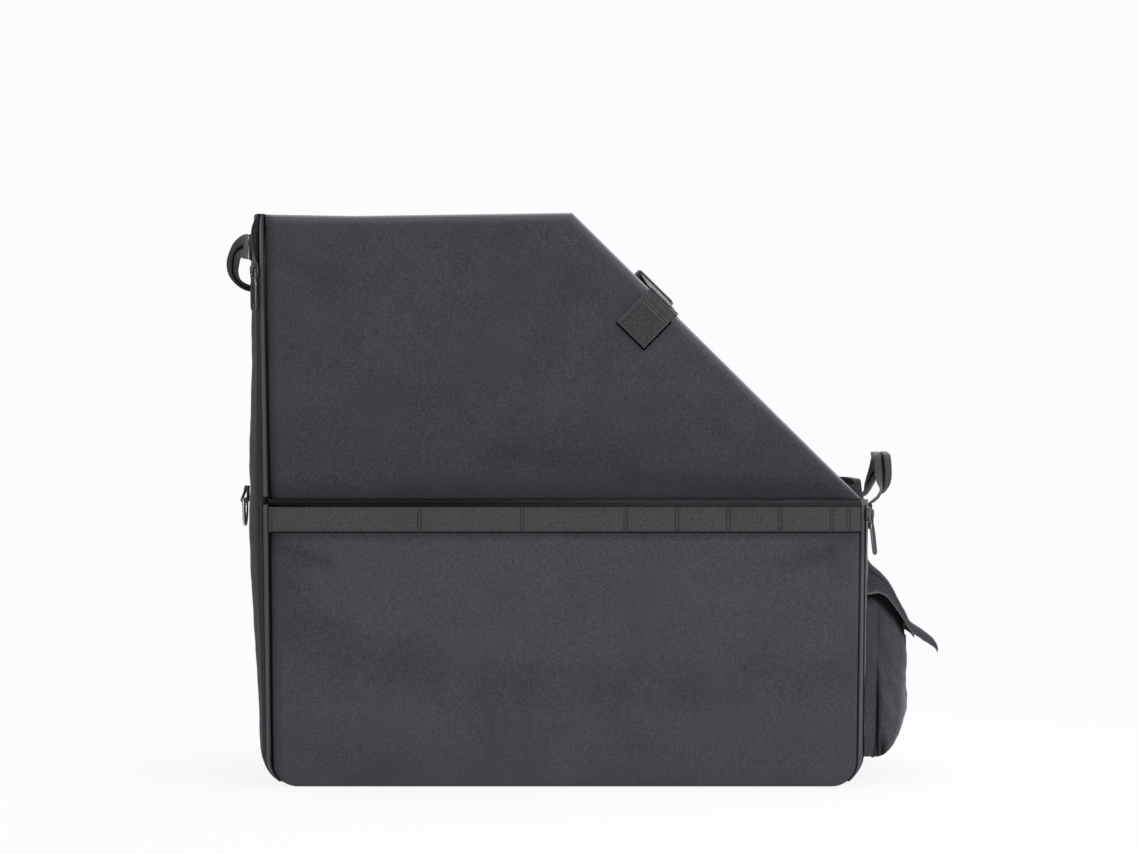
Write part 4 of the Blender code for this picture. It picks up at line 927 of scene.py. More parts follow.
@dataclass
class Panels(Part):
    """The four stiffened walls of the long sides: canvas sleeves with rolled edges.

    Each fold is a soft shade along a line on a wall: (x0, z0, x1, z1, width, depth of tone).
    """

    roll: float = 0.0022
    cell: float = 0.007
    pillow: float = 0.0012
    wrinkle: float = 0.0006
    inset: float = 0.0050
    welt_half: float = 0.0155
    webbing_shadow_line: float = 0.2477
    folds: tuple = (
        (-0.278, 0.2365, -0.226, 0.219, 0.0060, 0.18), (-0.272, 0.158, -0.128, 0.112, 0.0180, 0.06),
        (-0.110, 0.098, 0.272, 0.106, 0.0200, 0.04), (0.219, 0.2165, 0.283, 0.2400, 0.0060, 0.18),
        (0.262, 0.2300, 0.278, 0.2050, 0.0060, 0.10), (-0.280, 0.520, -0.190, 0.484, 0.0130, 0.06),
        (-0.050, 0.326, 0.050, 0.320, 0.0190, 0.11), (0.070, 0.304, 0.240, 0.296, 0.0110, 0.13),
        (-0.150, 0.300, -0.040, 0.296, 0.0100, 0.05), (-0.200, 0.400, -0.060, 0.370, 0.0200, 0.03))

    def build(self) -> None:
        """Makes the walls, their edge stitches and the fold's welts."""
        shape = self.shape
        for face, lower, upper in ((FRONT, "front_lower", "front_upper"), (BACK, "shell", "shell")):
            self.wall(face + "_lower", shape.lower_outline(), face, lower)
            self.wall(face + "_upper", shape.upper_outline(), face, upper)
            self.welt(face)
            self.edge_stitches(face, upper)

    def face_y(self, outline: list[Vector], x: float, z: float, face: str) -> float:
        """Where the canvas lies in depth, before its edges are rolled in.

        Args:
            outline: The wall's outline.
            x: The place's x.
            z: Its height.
            face: Front or back.

        Returns:
            The canvas's y.
        """
        inside = edge_distance(outline, x, z)
        swell = self.pillow * smoothstep(0.0, 0.05, inside)
        place = Vector((x, 0.3 * SIGN[face], z))
        ripple = crumple(place, 0.085, self.wrinkle) * smoothstep(0.0, 0.02, inside)
        ripple += crumple(place + Vector((0, 0, 2)), 0.022, self.wrinkle * 0.25)
        return SIGN[face] * (self.shape.half_depth + swell * 0.6 + ripple)

    def soft_folds(self, x: float, z: float) -> float:
        """The shade of the broad folds at a place.

        Args:
            x: The place's x.
            z: Its height.

        Returns:
            The depth of tone.
        """
        shade = 0.0
        for x0, z0, x1, z1, width, depth in self.folds:
            run, rise = x1 - x0, z1 - z0
            share = min(max(((x - x0) * run + (z - z0) * rise) / (run * run + rise * rise), 0.0), 1.0)
            gap = math.hypot(x - x0 - run * share, z - z0 - rise * share)
            if gap < 2.5 * width:
                shade += depth * hump(gap, 0.0, width)
        return shade

    def tone(self, outline: list[Vector], x: float, z: float) -> float:
        """The canvas's painted light: a highlight along the open edges, shade beside the strips and the
        fold.

        Args:
            outline: The wall's outline.
            x: The place's x.
            z: Its height.

        Returns:
            The painted tone, above 0 for a highlight and below 0 for shade.
        """
        shape = self.shape
        left = x + shape.seam(LEFT, z) - shape.seam_gap[LEFT]
        full = smoothstep(-0.2, 0.15, x)
        crease_shade = self.soft_folds(x, z)
        if z < shape.fold:
            # Painted shade: beside the tall end's strip, in the broad folds, under the webbing and in
            # the fold's gap
            shade = 0.36 * fall(0.0002, 0.009, left) + 0.6 * fall(0.0002, 0.0010, left)
            shade += 0.18 * fall(0.0, 0.05, left) * smoothstep(0.10, 0.27, z) + crease_shade
            shade += 0.75 * hump(z, self.webbing_shadow_line, 0.0008) - 0.02
            lip = 0.98 - 0.28 * full if z < 0.2748 else 0.60 - 0.34 * full
            return -shade - lip * smoothstep(0.2712, 0.2727, z)
        # Painted highlight along the top and sloping edges; painted shade over the upper wall, deepest
        # by the fold
        free = edge_distance(outline[2:] + outline[:1], x, z, closed=False)
        rim_highlight = 0.75 * fall(0.0004, 0.0024, free) + 0.30 * fall(0.001, 0.013, free)
        rise = z - shape.fold
        shade = 0.10 + 0.27 * fall(0.0, 0.028, rise) + 0.13 * fall(0.0, 0.12, rise)
        shade += 0.38 * fall(0.0002, 0.010, left) + 0.5 * fall(0.0002, 0.0010, left)
        return rim_highlight - shade - crease_shade

    def wall(self, name: str, outline: list[Vector], face: str, body: str) -> None:
        """One wall: canvas outside, lining inside, closed round its rolled edge.

        Args:
            name: The start of the piece's name and of its solid's.
            outline: Its (x, z) outline.
            face: Front or back.
            body: The body that it rides on.
        """
        bm = bmesh.new()
        faces = [bm.faces.new([bm.verts.new((point.x, 0.0, point.y)) for point in outline])]
        for step in (0.0003, 0.0005, 0.0009, 0.0014, 0.0025, 0.005):
            made = set(bmesh.ops.inset_region(bm, faces=faces, thickness=step, use_even_offset=True,
                                              use_boundary=True)["faces"])
            faces = [f for f in bm.faces if f not in made and len(f.verts) == len(outline)][:1]
        for axis, places in ((0, [p.x for p in outline]), (2, [p.y for p in outline])):
            low, high = min(places), max(places)
            slice_up(bm, axis, low, high, int((high - low) / self.cell))
        wear_and_painted_light = bm.verts.layers.float.new("wear_and_painted_light")
        inner = set(bmesh.ops.duplicate(bm, geom=[*bm.verts, *bm.edges, *bm.faces])["geom"])
        for vert in bm.verts:
            x, z = vert.co.x, vert.co.z
            share = min(edge_distance(outline, x, z) / self.roll, 1.0)
            tuck = self.roll * (1 - math.sqrt(max(1 - (1 - share) ** 2, 0.0)))
            if vert in inner:
                ripple = crumple(Vector((x, 5.0, z)), 0.06, 0.3 * MM)
                vert.co.y = SIGN[face] * (self.shape.half_depth - self.shape.panel + tuck + ripple)
            else:
                vert.co.y = self.face_y(outline, x, z, face) - SIGN[face] * tuck
                vert[wear_and_painted_light] = self.tone(outline, x, z)
        for item in bm.faces:
            item.material_index = int(item in inner)
        bmesh.ops.bridge_loops(bm, edges=boundary(bm))
        bmesh.ops.recalc_face_normals(bm, faces=bm.faces)
        self.maker.piece(name + "_panel", bm, CANVAS, body, (name + "_cover",), 80.0, LINING)

    def welt(self, face: str) -> None:
        """The cloth that shows in the fold, rounded into the gap between the two boards.

        Args:
            face: Front or back.
        """
        shape = self.shape
        left, right = -shape.seam(LEFT, shape.fold) + 0.0004, shape.seam(RIGHT, shape.fold) - 0.0004

        def surface(around: float, along: float) -> Vector:
            """A section with a soft roll in the gap, carried along the fold, fuller at the low end."""
            x = left + (right - left) * along
            height = self.welt_half * math.cos(2 * math.pi * around)
            full = smoothstep(0.25, 0.75, along)
            depth = shape.panel + FIT + 1.0 * MM
            if math.sin(2 * math.pi * around) > 0:
                roll = hump(height, -0.0012 * full, 0.0021 + 0.0020 * full)
                depth = shape.panel + FIT - roll * (shape.panel - 0.0022)
                depth += crumple(Vector((x, 3.0, height)), 0.02, 0.2 * MM) * roll
            return Vector((x, SIGN[face] * (shape.half_depth - depth), shape.fold + height))

        def tone(around: float, along: float) -> float:
            """In shade, and black where the roll turns under towards the webbing."""
            height = self.welt_half * math.cos(2 * math.pi * around)
            full = smoothstep(0.25, 0.75, along)
            under = hump(height, -0.0048, 0.0024 - 0.0010 * full)
            return (-0.55 + 0.30 * full - (0.45 - 0.35 * full) * under
                    - 0.15 * hump(height, 0.0018, 0.0008))

        bm = mapped_grid(surface, 64, 80, (0.066, right - left), closed=True, tone=tone)
        piece = self.maker.piece(face + "_fold_welt", bm, CANVAS, "" if face == FRONT else "shell",
                                 (face + "_fold_cloth",), 40.0, slot="lining")
        if face == FRONT:
            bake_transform(piece)

    def edge_stitches(self, face: str, body: str) -> None:
        """A row of stitches inside the top and sloping edges.

        Args:
            face: Front or back.
            body: The body that it rides on.
        """
        outline, inset, top = self.shape.upper_outline(), self.inset, self.shape.tall
        low, high, out = self.shape.slope()
        up = (high - low).normalized()
        points = [Vector((-self.shape.seam(LEFT, top) + inset, 0, top - inset - 0.0015)),
                  Vector((-0.2, 0, top - 0.003 - inset)),
                  Vector((self.shape.slope_top - inset * 0.4, 0, top - inset)),
                  low - out * inset + up * 0.012]
        run = []
        for first, second in zip(points, points[1:]):
            count = int((second - first).length / 0.006)
            for step in range(count + 1):
                place = first.lerp(second, step / count)
                place.y = self.face_y(outline, place.x, place.z, face) + SIGN[face] * 0.1 * MM
                run.append((place, Vector((0, SIGN[face], 0))))
        self.maker.stitches(face + "_top_stitches", [run], body, 0.42)


@dataclass
class Floor(Part):
    """The bag's stiffened floor and the canvas that hinges the front wall to it."""

    round_edge: float = 0.0022

    def build(self) -> None:
        """Makes the floor's canvas sleeve, with lining on top, and dresses every board."""
        low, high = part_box("base_cover")
        bm = bmesh.new()
        bmesh.ops.create_cube(bm, size=1.0)
        for vert in bm.verts:
            vert.co = Vector([low[i] + (vert.co[i] + 0.5) * (high[i] - low[i]) for i in range(3)])
        bmesh.ops.bevel(bm, geom=[*bm.verts, *bm.edges], offset=self.round_edge, offset_type="OFFSET",
                        segments=4, profile=0.5, affect="EDGES", material=-1)
        slice_up(bm, 0, low.x, high.x, 60)
        slice_up(bm, 1, low.y, high.y, 30)
        for face in bm.faces:
            face.material_index = int(face.calc_center_median().z > 0.004)
        for vert in bm.verts:
            if vert.co.z > 0.005:
                vert.co.z += crumple(vert.co, 0.05, 0.4 * MM)
        self.maker.piece("bag_floor", bm, FLOOR_CANVAS, "shell", ("base_cover",), 50.0, LINING)
        self.maker.dress(("base_board", "back_lower_board", "back_upper_board", "front_lower_board",
                          "front_upper_board"), BOARD)


@dataclass
class Ends(Part):
    """The soft padded ends: crowned canvas over foam, with a lining behind it.

    The low end's top sinks towards the front, where it's unsupported.
    """

    thick: float = 0.0068
    sink: float = 0.0195
    slump: tuple = (0.0048, 0.0012)
    front_shade: dict = field(default_factory=lambda: {LEFT: 0.55, RIGHT: 0.15})

    def build(self) -> None:
        """Makes both ends and their linings."""
        for side in (LEFT, RIGHT):
            self.outer(side)
            self.inner(side)

    def path(self, side: str, share: float, top: float) -> tuple[Vector, Vector, float, float]:
        """A station on an end's middle line, from its top down and round its foot.

        Args:
            side: Left or right.
            share: How far down, from 0 to 1.
            top: The height of the top edge.

        Returns:
            The place, the outward vector, the crown's share there and the height.
        """
        shape, sign = self.shape, SIGN[side]
        radius = shape.foot_radius
        straight = top - radius
        run = share * (straight + radius * math.pi / 2)
        if run <= straight:
            height = top - run
            return (Vector((sign * shape.end(side, height), 0, height)), Vector((sign, 0, 0)), 1.0,
                    height)
        turn = (run - straight) / radius
        outward = Vector((sign * math.cos(turn), 0, -math.sin(turn)))
        centre = Vector((sign * (shape.end(side, radius) - radius), 0, radius))
        return centre + outward * radius, outward, math.cos(turn) ** 2, radius

    def skin(self, side: str, depth: float, inset: float, wrinkle: float, seed: float) -> Point:
        """The surface of one layer of an end.

        Args:
            side: Left or right.
            depth: How far inside the outer face it lies.
            inset: How far its edges stay in.
            wrinkle: The height of its wrinkles.
            seed: What sets these wrinkles apart.

        Returns:
            The surface as a function of two shares.
        """
        shape = self.shape
        top = shape.height_of(side)

        def surface(across: float, down: float) -> Vector:
            """A place on the layer."""
            place, outward, crown, height = self.path(side, down, top - inset)
            y = (across * 2 - 1) * (shape.band - inset)
            share = abs(y / shape.band)
            lift = shape.crown_at(side, height) * crown * (1 - share**6) - depth
            calm = (1 - share**8) * crown
            if side == RIGHT:
                slump = smoothstep(0.255, 0.290, height) * smoothstep(0.55, 1.0, share)
                lift -= self.slump[int(y >= 0)] * slump
                sink = self.sink * smoothstep(0.04, 0.33, -y / shape.band)
                place = place - Vector((0, 0, sink * smoothstep(0.235, 0.298, height)))
            fold = crumple(Vector((seed, y * 0.6, place.z * 1.8)), 0.07, wrinkle) * calm
            fold += crumple(Vector((seed, y, place.z)), 0.02, wrinkle * 0.25) * calm
            return place + outward * (lift + fold) + Vector((0, y, 0))

        return surface

    def outer(self, side: str) -> None:
        """The padded outer layer, closed round its edges.

        Args:
            side: Left or right.
        """
        shape, sign = self.shape, SIGN[side]
        height = shape.height_of(side) - shape.foot_radius + shape.foot_radius * math.pi / 2

        def tone(across: float, down: float) -> float:
            """Paler along its open edges, with painted shade towards the front."""
            pale_edge_tone = 0.1 if across in (0.0, 1.0) or down == 0.0 else 0.0
            return pale_edge_tone - self.front_shade[side] * smoothstep(0.72, 0.93, 1 - across * 2)

        bm = mapped_grid(self.skin(side, 0.0, 0.0, 1.4 * MM, 1.0 + sign), 44, 96,
                         (2 * shape.band, height), tone=tone)
        thicken(bm, Vector((sign, 0, 0)), self.thick)
        for item in bm.faces:
            if item.normal.dot(Vector((sign, 0, -0.3))) < 0.2 and item.calc_center_median().z > 0.05:
                item.material_index = 1
        piece = self.maker.piece(side + "_end_panel", bm, CANVAS, "shell",
                                 (side + "_end_cover", side + "_end_pad"), inner=LINING)

    def inner(self, side: str) -> None:
        """The lining, darkened all over with painted shade.

        Args:
            side: Left or right.
        """
        skin = self.skin(side, self.thick + 0.0006, 0.0005, 0.9 * MM, 4.0 + SIGN[side])
        bm = mapped_grid(skin, 36, 70, (2 * self.shape.band, self.shape.height_of(side)),
                         tone=lambda u, w: -0.7)
        thicken(bm, Vector((SIGN[side], 0, 0)), 0.8 * MM)
        self.maker.piece(side + "_end_lining_cloth", bm, LINING, "shell", (side + "_end_lining",))


@dataclass
class Corners(Part):
    """The corner strips: zip tapes with rolled beads and a coil in front, sewn canvas behind.

    The ring is a tape's section: (share of its width, share of its rise, tone). Above the slider the
    tables give how far each half stands apart, by height.
    """

    slider: float = 0.504
    rise: float = 0.0009
    slot: float = 0.0009
    foot_turn: float = math.radians(54.0)
    coil_pitch: float = 0.0016
    # The ring's tones paint shade beside the seam and the slot, and a highlight on the bead's rise.
    ring: tuple = ((1.0, -0.2, -0.55), (0.90, 0.3, 0.05), (0.74, 0.85, 0.14), (0.58, 1.0, 0.12),
                   (0.42, 0.5, -0.02), (0.26, 0.1, -0.20))
    open_table: tuple = ((0.504, 0.0), (0.510, 0.0018), (0.520, 0.0046), (0.530, 0.0066),
                         (0.540, 0.0072), (0.548, 0.0060), (0.554, 0.0034), (0.560, 0.0010))
    top_table: tuple = ((0.504, 0.0), (0.512, 0.0010), (0.545, 0.0012), (0.552, 0.0020),
                        (0.560, 0.0048))
    # Painted shade over each half, darkest on the low end's end-side half.
    shades: dict = field(default_factory=lambda: {
        (LEFT, True): -0.02, (LEFT, False): -0.30, (RIGHT, True): -0.06, (RIGHT, False): -0.90})

    def build(self) -> None:
        """Makes every strip, its stitches and the coils."""
        shape = self.shape
        below, above, foot = shape.fold - shape.fold_gap, shape.fold + shape.fold_gap, -1.0
        top = shape.tall - 0.002
        for name, start, end, body in (
                ("left_zip_upper", top, above, "front_upper"),
                ("left_zip_lower", below, foot, "front_lower"), ("left_zip_end", top, foot, "shell"),
                ("right_zip_front", below, foot, "front_lower"),
                ("right_zip_end", below, foot, "shell")):
            self.half(name, start, end, body)
        for side, start in ((LEFT, top), (RIGHT, below)):
            self.sewn(side, start)
        for side, start in ((LEFT, top), (RIGHT, below)):
            self.coil(side, start)

    def station(self, side: str, face: str, top: float, bottom: float, share: float) -> tuple:
        """A station on a corner.

        Args:
            side: Left or right.
            face: Front or back.
            top: Where the strip starts.
            bottom: Where it ends, or below 0 to go round the foot.
            share: How far along, from 0 to 1.

        Returns:
            The panel edge, centre and end edge, the outward vector and the height.
        """
        shape, sign = self.shape, SIGN[side]
        ys = (SIGN[face] * shape.half_depth, SIGN[face] * (shape.half_depth + shape.band) / 2,
              SIGN[face] * shape.band)
        radii = (shape.corner, (shape.corner + shape.foot_radius) / 2, shape.foot_radius)
        straight = top - (shape.foot_radius if bottom < 0 else bottom)
        run = share * (straight + (radii[1] * self.foot_turn if bottom < 0 else 0.0))
        if run <= straight:
            height = top - run
            reaches = (shape.seam(side, height), shape.zip_line(side, height), shape.end(side, height))
            places = [Vector((sign * reach, y, height)) for reach, y in zip(reaches, ys)]
            return (*places, Vector((sign, 0, 0)), height)
        turn = (run - straight) / radii[1]
        outward = Vector((sign * math.cos(turn), 0, -math.sin(turn)))
        reaches = (shape.seam(side, shape.corner), shape.zip_line(side, shape.foot_radius),
                   shape.end(side, shape.foot_radius))
        lows = (shape.foot_gap, shape.foot_gap / 2, 0.0)
        places = [Vector((sign * (reach - radius), y, rise + radius)) + outward * radius
                  for reach, radius, rise, y in zip(reaches, radii, lows, ys)]
        return (*places, outward, shape.foot_radius)

    def half(self, name: str, top: float, bottom: float, body: str) -> None:
        """One half of a front corner: tape from the seam to a rolled bead beside the slot.

        Args:
            name: The start of the piece's name and of its solid's. It says which half this is.
            top: Where it starts.
            bottom: Where it ends, or below 0 for round the foot.
            body: The body that it rides on.
        """
        side = LEFT if name.startswith(LEFT) else RIGHT
        at_panel = body != "shell"

        def section(share: float) -> list[Vector]:
            """The strip's closed section at a station."""
            *places, outward, height = self.station(side, FRONT, top, bottom, share)
            centre = places[1]
            start = (places[0] + outward * FIT if at_panel else places[2] + Vector((0, -FIT, 0)))
            back = start - centre
            width = back.length
            back.normalize()
            normal = self.normal(places, outward)
            gap, lift = self.parting(side, height, at_panel)
            wave = crumple(Vector((height * 3, 7.0 if at_panel else 9.0, side == LEFT)), 0.03, 0.2 * MM)
            near = self.slot + gap
            reach = width - near
            points = [(near + reach * u, self.rise * v + wave * (1 - u)) for u, v, _ in self.ring]
            points += [(near, 0.0), (near + 0.0002, -0.0009), (near + reach * 0.4, -0.0013),
                       (width, -0.0012)]
            return [centre + back * u + normal * v + outward * lift * (1 - ((u - near) / reach) ** 2)
                    for u, v in points]

        # Painted shade over the half and its back; the slot is painted darker on the left, paler on the
        # right.
        shade, slot = self.shades[side, at_panel], -0.12 if side == LEFT else 0.25
        tones = [tone + shade for _, _, tone in self.ring] + [slot, slot - 0.1, -0.8, -0.8]
        around = len(tones)
        length = top - max(bottom, 0.0)
        rows = max(int(length / 0.004), 8)
        sections = [section(row / rows) for row in range(rows + 1)]

        def tone(turn: float, along: float) -> float:
            """Painted shade beside the seams, and a painted highlight along the bead where the zip
            stands open.
            """
            at = round(turn * around) % around
            height = self.station(side, FRONT, top, bottom, along)[4]
            if side == LEFT and height > self.slider + 0.003 and at >= 5:
                return 0.55 if at in (5, 6) else -0.35
            return tones[at]

        name, node = name + "_strip", name + "_tape"
        self.maker.piece(name, loft(sections, (0.020, length), tone=tone), TAPE, body, (node,), 75.0)
        run = [(points[1], self.station(side, FRONT, top, bottom, row / rows)[3])
               for row, points in enumerate(sections)]
        self.maker.stitches(name + "_stitches", [run], body, 0.35)

    def parting(self, side: str, height: float, at_panel: bool) -> tuple[float, float]:
        """How far the open zip's halves stand apart above its slider.

        Args:
            side: Left or right.
            height: The height.
            at_panel: Whether it is the half beside the long side.

        Returns:
            How far the bead lies back from the centre line, and how far it veers outwards.
        """
        if side == RIGHT or height <= self.slider:
            return 0.0, 0.0
        if at_panel:
            return interpolate(self.top_table, height), 0.0
        return 0.0010, interpolate(self.open_table, height)

    def normal(self, places: list[Vector], outward: Vector) -> Vector:
        """The outward normal at a corner's centre line, halfway between its flanks'.

        Args:
            places: The panel edge, the centre and the end edge.
            outward: The way that the corner faces.

        Returns:
            The unit normal.
        """
        total = Vector()
        for first, second in zip(places, places[1:]):
            across = second - first
            rise = across.dot(outward)
            lean = Vector((0, math.copysign(rise, across.y), 0))
            total += (outward * abs(across.y) - lean).normalized()
        return total.normalized()

    def sewn(self, side: str, top: float) -> None:
        """The canvas strip of a back corner, with a piped seam down its middle.

        Args:
            side: Left or right.
            top: Where it starts.
        """

        def section(share: float) -> list[Vector]:
            """The strip's closed section at a station."""
            *places, outward, _ = self.station(side, BACK, top, -1.0, share)
            centre, normal = places[1], self.normal(places, outward)
            start, end = places[0] + outward * FIT, places[2] + Vector((0, FIT, 0))
            wave = crumple(Vector((share * 9, 3.0, SIGN[side])), 0.06, 0.4 * MM)
            outer = [start, start.lerp(centre, 0.3) + normal * (0.0005 + wave),
                     start.lerp(centre, 0.72) + normal * 0.0001, centre + normal * 0.0009,
                     centre.lerp(end, 0.28) + normal * 0.0001, centre.lerp(end, 0.7) + normal * 0.0005,
                     end]
            return outer + [place - normal * 0.0012 for place in reversed(outer)]

        bm = loft([section(row / 90) for row in range(91)], (0.032, top))
        self.maker.piece(side + "_back_corner_strip", bm, CANVAS, "shell", (side + "_back_corner",),
                         75.0)

    def coil(self, side: str, top: float) -> None:
        """The zip's coil: short turns of nylon at each side of the slot, parted above the slider.

        Args:
            side: Left or right.
            top: Where it starts.
        """
        turns = []
        straight = top - self.shape.foot_radius
        for turn in range(int(straight / self.coil_pitch)):
            height = top - turn * self.coil_pitch
            share = (top - height) / (straight + 0.0325 * self.foot_turn)
            *places, outward, _ = self.station(side, FRONT, top, -1.0, share)
            centre, normal = places[1], self.normal(places, outward)
            at_panel = turn % 2 == 0
            gap, lift = self.parting(side, height, at_panel)
            across = (places[0 if at_panel else 2] - centre).normalized()
            turned = Matrix((across, Vector((0, 0, -1)), normal)).transposed().to_4x4()
            place = centre + across * (gap + 0.0011) + outward * lift - normal * 0.0014
            turns.append(Matrix.Translation(place) @ turned
                         @ Matrix.Diagonal((0.0013, 0.00062, 0.00075, 1.0)))
        self.maker.piece(side + "_zip_coil", beads(turns), COIL, "shell")


@dataclass
class RowWebbing(Part):
    """Webbing sewn across each long side, tacked flat at distances from the tall end."""

    width: float = 0.0248
    thick: float = 0.0015
    drop: float = 0.0061
    slack: float = 0.0012
    tack_half: float = 0.0015
    tacks: tuple = (0.0175, 0.163, 0.263, 0.364, 0.414, 0.464, 0.514, 0.565, 0.581, 0.5915)

    def build(self) -> None:
        """Makes both runs of webbing and their tacks."""
        for face, body in ((FRONT, "front_lower"), (BACK, "shell")):
            self.band(face, body)

    def stand_off(self, x: float, height: float) -> float:
        """How far the webbing stands off the panel between its tacks.

        Args:
            x: The distance from the tall end.
            height: The height above the webbing's middle.

        Returns:
            The distance, in metres.
        """
        lift = 0.0
        for tack, after in zip(self.tacks, self.tacks[1:]):
            if tack <= x <= after:
                share = (x - tack) / (after - tack)
                rise = self.slack * min(1.0, (after - tack) / 0.038)
                lift = rise * (4 * share * (1 - share)) ** 0.45
        pinch = min(abs(x - tack) for tack in self.tacks)
        groove = 0.45 * MM * hump(pinch, self.tack_half, 0.7 * MM)
        wave = crumple(Vector((x, 1.0, height)), 0.035, 0.3 * MM) * smoothstep(0.003, 0.02, pinch)
        return lift - groove + wave

    def band(self, face: str, body: str) -> None:
        """One run of webbing with its selvedges, and its tack stitches.

        Args:
            face: Front or back.
            body: The body that it rides on.
        """
        shape = self.shape
        middle = shape.fold - self.drop - self.width / 2
        start, end = self.tacks[0] - self.tack_half, self.tacks[-1] + self.tack_half

        def surface(around: float, along: float) -> Vector:
            """A place on the webbing's skin: once round its section, from its lower edge."""
            x = start + (end - start) * along
            c, s = math.cos(2 * math.pi * around), math.sin(2 * math.pi * around)
            z = self.width / 2 * blunt(c, 0.30)
            y = self.thick / 2 * blunt(s, 0.45)
            rib = 0.22 * MM * hump(abs(z), self.width * 0.455, 0.8 * MM) if s > 0 else 0.0
            y += self.stand_off(x, z) + rib
            depth = shape.half_depth + FIT + self.thick / 2 + y
            return Vector((x - shape.half_length, SIGN[face] * depth, middle + z))

        def tone(around: float, along: float) -> float:
            """A painted highlight along its top edge, painted shade under its lower one, a touch darker
            all over.
            """
            c = math.cos(2 * math.pi * around)
            return 0.10 * smoothstep(0.90, 0.99, c) - 0.06 - 0.94 * smoothstep(0.66, 0.84, -c)

        bm = mapped_grid(surface, 64, 560, (2 * self.width + 2 * self.thick, end - start),
                         closed=True, tone=tone)
        self.maker.piece(face + "_webbing_row", bm, WEBBING, body, (face + "_row_webbing",))
        runs = []
        for x in [tack + offset for tack in self.tacks[:-1]
                  for offset in (-self.tack_half, self.tack_half)]:
            runs.append([])
            for step in range(9):
                z = self.width * (step / 8 - 0.5) * 0.92
                y = shape.half_depth + FIT + self.thick + self.stand_off(x, z)
                runs[-1].append((Vector((x - shape.half_length, SIGN[face] * y, middle + z)),
                                 Vector((0, SIGN[face], 0))))
        self.maker.stitches(face + "_webbing_tacks", runs, body, 1.0, 2.0, 1.5, DARK_THREAD_AND_SHADE)


